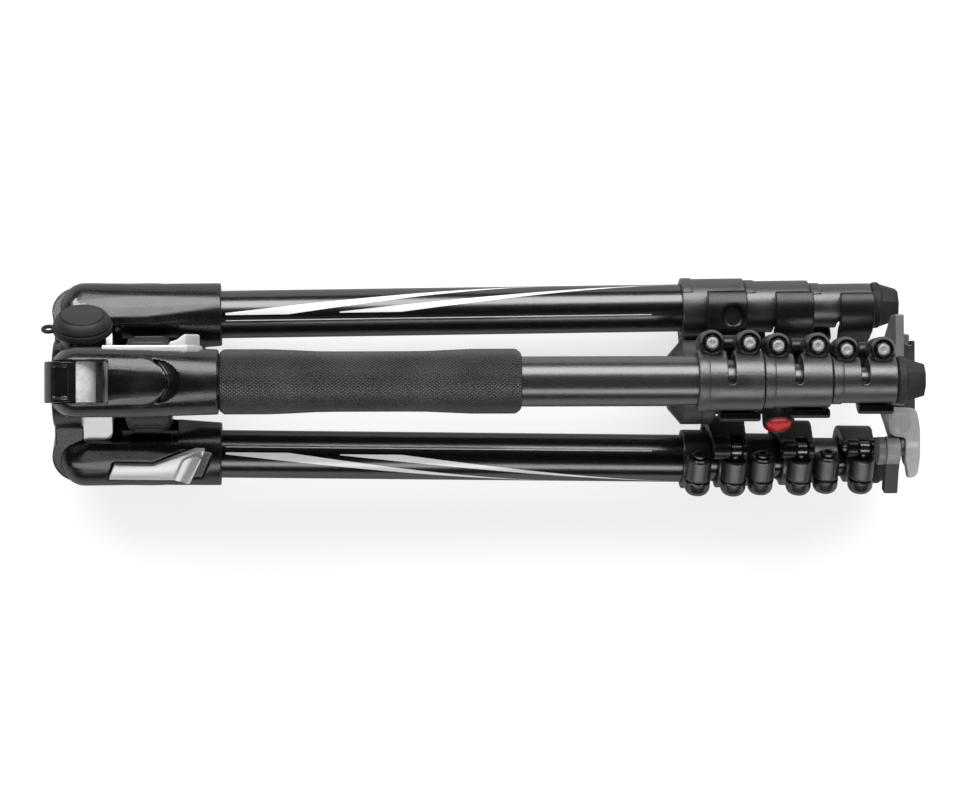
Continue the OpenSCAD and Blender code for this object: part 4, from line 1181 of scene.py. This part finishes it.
def add_arc_band(bm, inner, outer, half, low, high, steps):
    """A band round a lug's hinge, between two angles from its top towards the hinge end."""
    profile = [(-half, inner), (half, inner), (half, outer), (-half, outer)]
    add_turned(bm, profile, "Y", steps=steps, angle=high - low, start=90 + low, ring=True)


pads = bmesh.new()
add_arc_band(pads, LUG_R - 1.6, LUG_R - 0.5, PAD_HALF, PAD_FROM, PAD_TO, 12)
step = (PAD_TO - PAD_FROM) / RIB_COUNT
for rib in range(RIB_COUNT):
    low = PAD_FROM + step * (rib + 0.2)
    add_arc_band(pads, LUG_R - 0.8, LUG_R - 0.15, PAD_HALF - 0.5, low, low + step * RIB_SHARE, 2)
bmesh.ops.recalc_face_normals(pads, faces=pads.faces)
on_each_leg(
    "lug_pad_#", crisp(pads), hinge_place, "spider", "lug_pads", "black_rubber", black_rubber, 30
)
print("pads ready")

# %% [markdown]
# ## The accessory cap
# The cap is a turned rubber lid with a flat disc on top, a groove round the disc, a sloping shoulder
# and a thick rim. A rubber loop beside it ties it to the tripod.

# %% Cap and tether
CAP_X = 2.7
CAP_START = 27.5
CAP_R = 13.85
CAP_PROFILE = [
    (-11, 0), (-11, 4.5), (0.05, 4.5), (0.1, 12.9), (0.7, 13.7), (2.6, CAP_R), (3.3, 13.65),
    (3.5, 13.1), (4.1, 13.05), (4.4, 13.35), (5.2, 13.2), (7.2, 12.0), (8.2, 11.0), (8.5, 10.6),
    (8.4, 10.25), (7.9, 10.1), (8.0, 9.9), (8.6, 9.8), (8.9, 9.5), (9.0, 9.0), (9.0, 0),
]
LOOP_X = CAP_X - CAP_R - 1.7
LOOP_LIFT = 1.2
LOOP_R = 2.6
LOOP_HALF = 0.95
loop_profile = [
    (LOOP_LIFT + LOOP_HALF * cos(radians(turn)), LOOP_R + LOOP_HALF * sin(radians(turn)))
    for turn in range(0, 360, 30)
]

cap = bmesh.new()
add_turned(cap, CAP_PROFILE, "Z", at=(CAP_X, 0), steps=96)
add_turned(cap, loop_profile, "Z", at=(LOOP_X, 0), steps=40, ring=True)
cap_spot = column_place(-60) @ Matrix.Translation((0, 0, CAP_START))
placed_piece(
    "accessory_cap_lid", crisp(cap), cap_spot, "port_cap", "accessory_cap", "grey_rubber",
    grey_rubber, 30,
)
print("cap ready")

# %% [markdown]
# ## The head
# The housing is cast and satin black. The knob that locks the ball is turned, and carries a domed red
# badge in a dark rim. The quick-release clamp, its lever, the safety catch and the camera plate are
# cast, so they are melted: the lever is the pale grey piece at the tripod's head end.

# %% Housing, knob and badge
KNOB_X = 325.2
KNOB_START = 15.2
KNOB_PROFILE = [
    (14, 0), (14, 3), (KNOB_START, 3), (KNOB_START, 6.6), (16, 7.4), (21.6, 7.5), (22.9, 7.3),
    (23.4, 6.9), (23.6, 6.6), (23.4, 6.35), (22.6, 6.3), (22.6, 0),
]
BADGE_PROFILE = [
    (22.5, 0), (22.5, 6.2), (22.9, 6.2), (23.5, 5.8), (24.1, 4.9), (24.5, 3.7), (24.75, 2.3),
    (24.85, 1.0), (24.9, 0),
]
placed_piece(
    "ball_housing_cast", softened("ball_housing", 0.5, 2), column_place(), "head", "ball_housing",
    "head_metal", head_metal,
)
placed_piece(
    "ball_knob_turned", mesh_of(add_turned, KNOB_PROFILE, "Z", at=(KNOB_X, 0), steps=64),
    column_place(60), "ball_lock", "ball_knob", "black_plastic", black_plastic, 40,
)
placed_piece(
    "knob_badge_dome", mesh_of(add_turned, BADGE_PROFILE, "Z", at=(KNOB_X, 0), steps=64),
    column_place(60), "ball_lock", "knob_badge", "red_badge", red_badge, 40,
)
print("housing and knob ready")

# %% Clamp, lever and catch
PIVOT = (-32.4, 17.0)
ARM_LOW, ARM_HIGH = 15.4, 22.0
ARM_OUTLINE = [
    (384.2, -45.2, 1.2), (388.2, -44.4, 2.2), (389.6, -37.0, 3), (390.0, -22.0, 5),
    (388.0, -12.6, 2.6), (376.2, -12.0, 2.0), (374.2, -17.0, 2), (376.0, -25.4, 2.4),
    (382.8, -26.4, 0.8), (382.8, -36.0, 1),
]
ARM_HUB_R = 6.4
PIVOT_R = 2.7
THUMB_R = 10.0
THUMB_AT = (380.4, -19.6, ARM_HIGH + 8.6)
CATCH_HUB_PROFILE = [
    (373.95, 2.8), (373.95, 6.3), (374.3, 6.75), (380.0, 6.75), (380.45, 6.3), (380.45, 2.8),
]

clamp_mesh = softened("release_clamp", 0.42, 2)
lever_solids = [
    solid_of(add_plate, ARM_OUTLINE, ARM_LOW, ARM_HIGH, "Z"),
    solid_of(add_rod, 382.7, 389.0, ARM_HUB_R, "X", at=PIVOT),
]
thumb_and_hole = [
    solid_of(add_ball, THUMB_AT, THUMB_R),
    solid_of(add_rod, 380, 391, PIVOT_R, "X", at=PIVOT),
]
carve(lever_solids, thumb_and_hole)
release_mesh = melted(lever_solids, 0.4, 5)
catch_mesh = softened("safety_catch", 0.4, 4)
catch_hub = mesh_of(add_turned, CATCH_HUB_PROFILE, "X", at=PIVOT, steps=64, ring=True)
plate_mesh = softened("camera_plate", 0.4, 2)
head_pieces = (
    ("release_clamp_cast", clamp_mesh, "ball", "release_clamp", "head_metal", clamp_metal),
    ("release_lever_cast", release_mesh, "release_lever", "release_lever", "grey_lever", release_paint),
    ("safety_catch_cast", catch_mesh, "safety_catch", "safety_catch", "black_plastic", black_plastic),
    ("safety_catch_hub", catch_hub, "safety_catch", "safety_catch", "grey_lever", grey_paint, 40),
    ("camera_plate_cast", plate_mesh, "camera_plate", "camera_plate", "head_metal", head_metal),
)
for name, mesh, *rest in head_pieces:
    placed_piece(name, mesh, column_place(), *rest)
print("clamp faces:", len(clamp_mesh.polygons), "lever:", len(release_mesh.polygons))

# %% [markdown]
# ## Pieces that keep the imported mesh
# A tube, a pin or a plate that is already the right shape stays, and only gets its finish.

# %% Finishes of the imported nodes
node_finish = {
    "hinge_pins": dark_steel,
    "column_lock_ring": ring_plastic,
    "column_tube": column_finish,
    "column_foot": black_plastic,
    "head_base": head_metal,
    "pan_knob": black_plastic,
    "ball_liner": liner_plastic,
    "ball_stem": ball_metal,
    "camera_screw": dark_steel,
}
for leg in LEGS:
    for number in (1, 2, 3, 4):
        node_finish[f"leg_{leg}_tube_{number}"] = tube_finishes[leg]

for node, finish in node_finish.items():
    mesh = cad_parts[node].data
    mesh.materials.clear()
    mesh.materials.append(finish)
print("dressed", len(node_finish), "of", len(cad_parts), "nodes")

# %% The end
print("scene built")
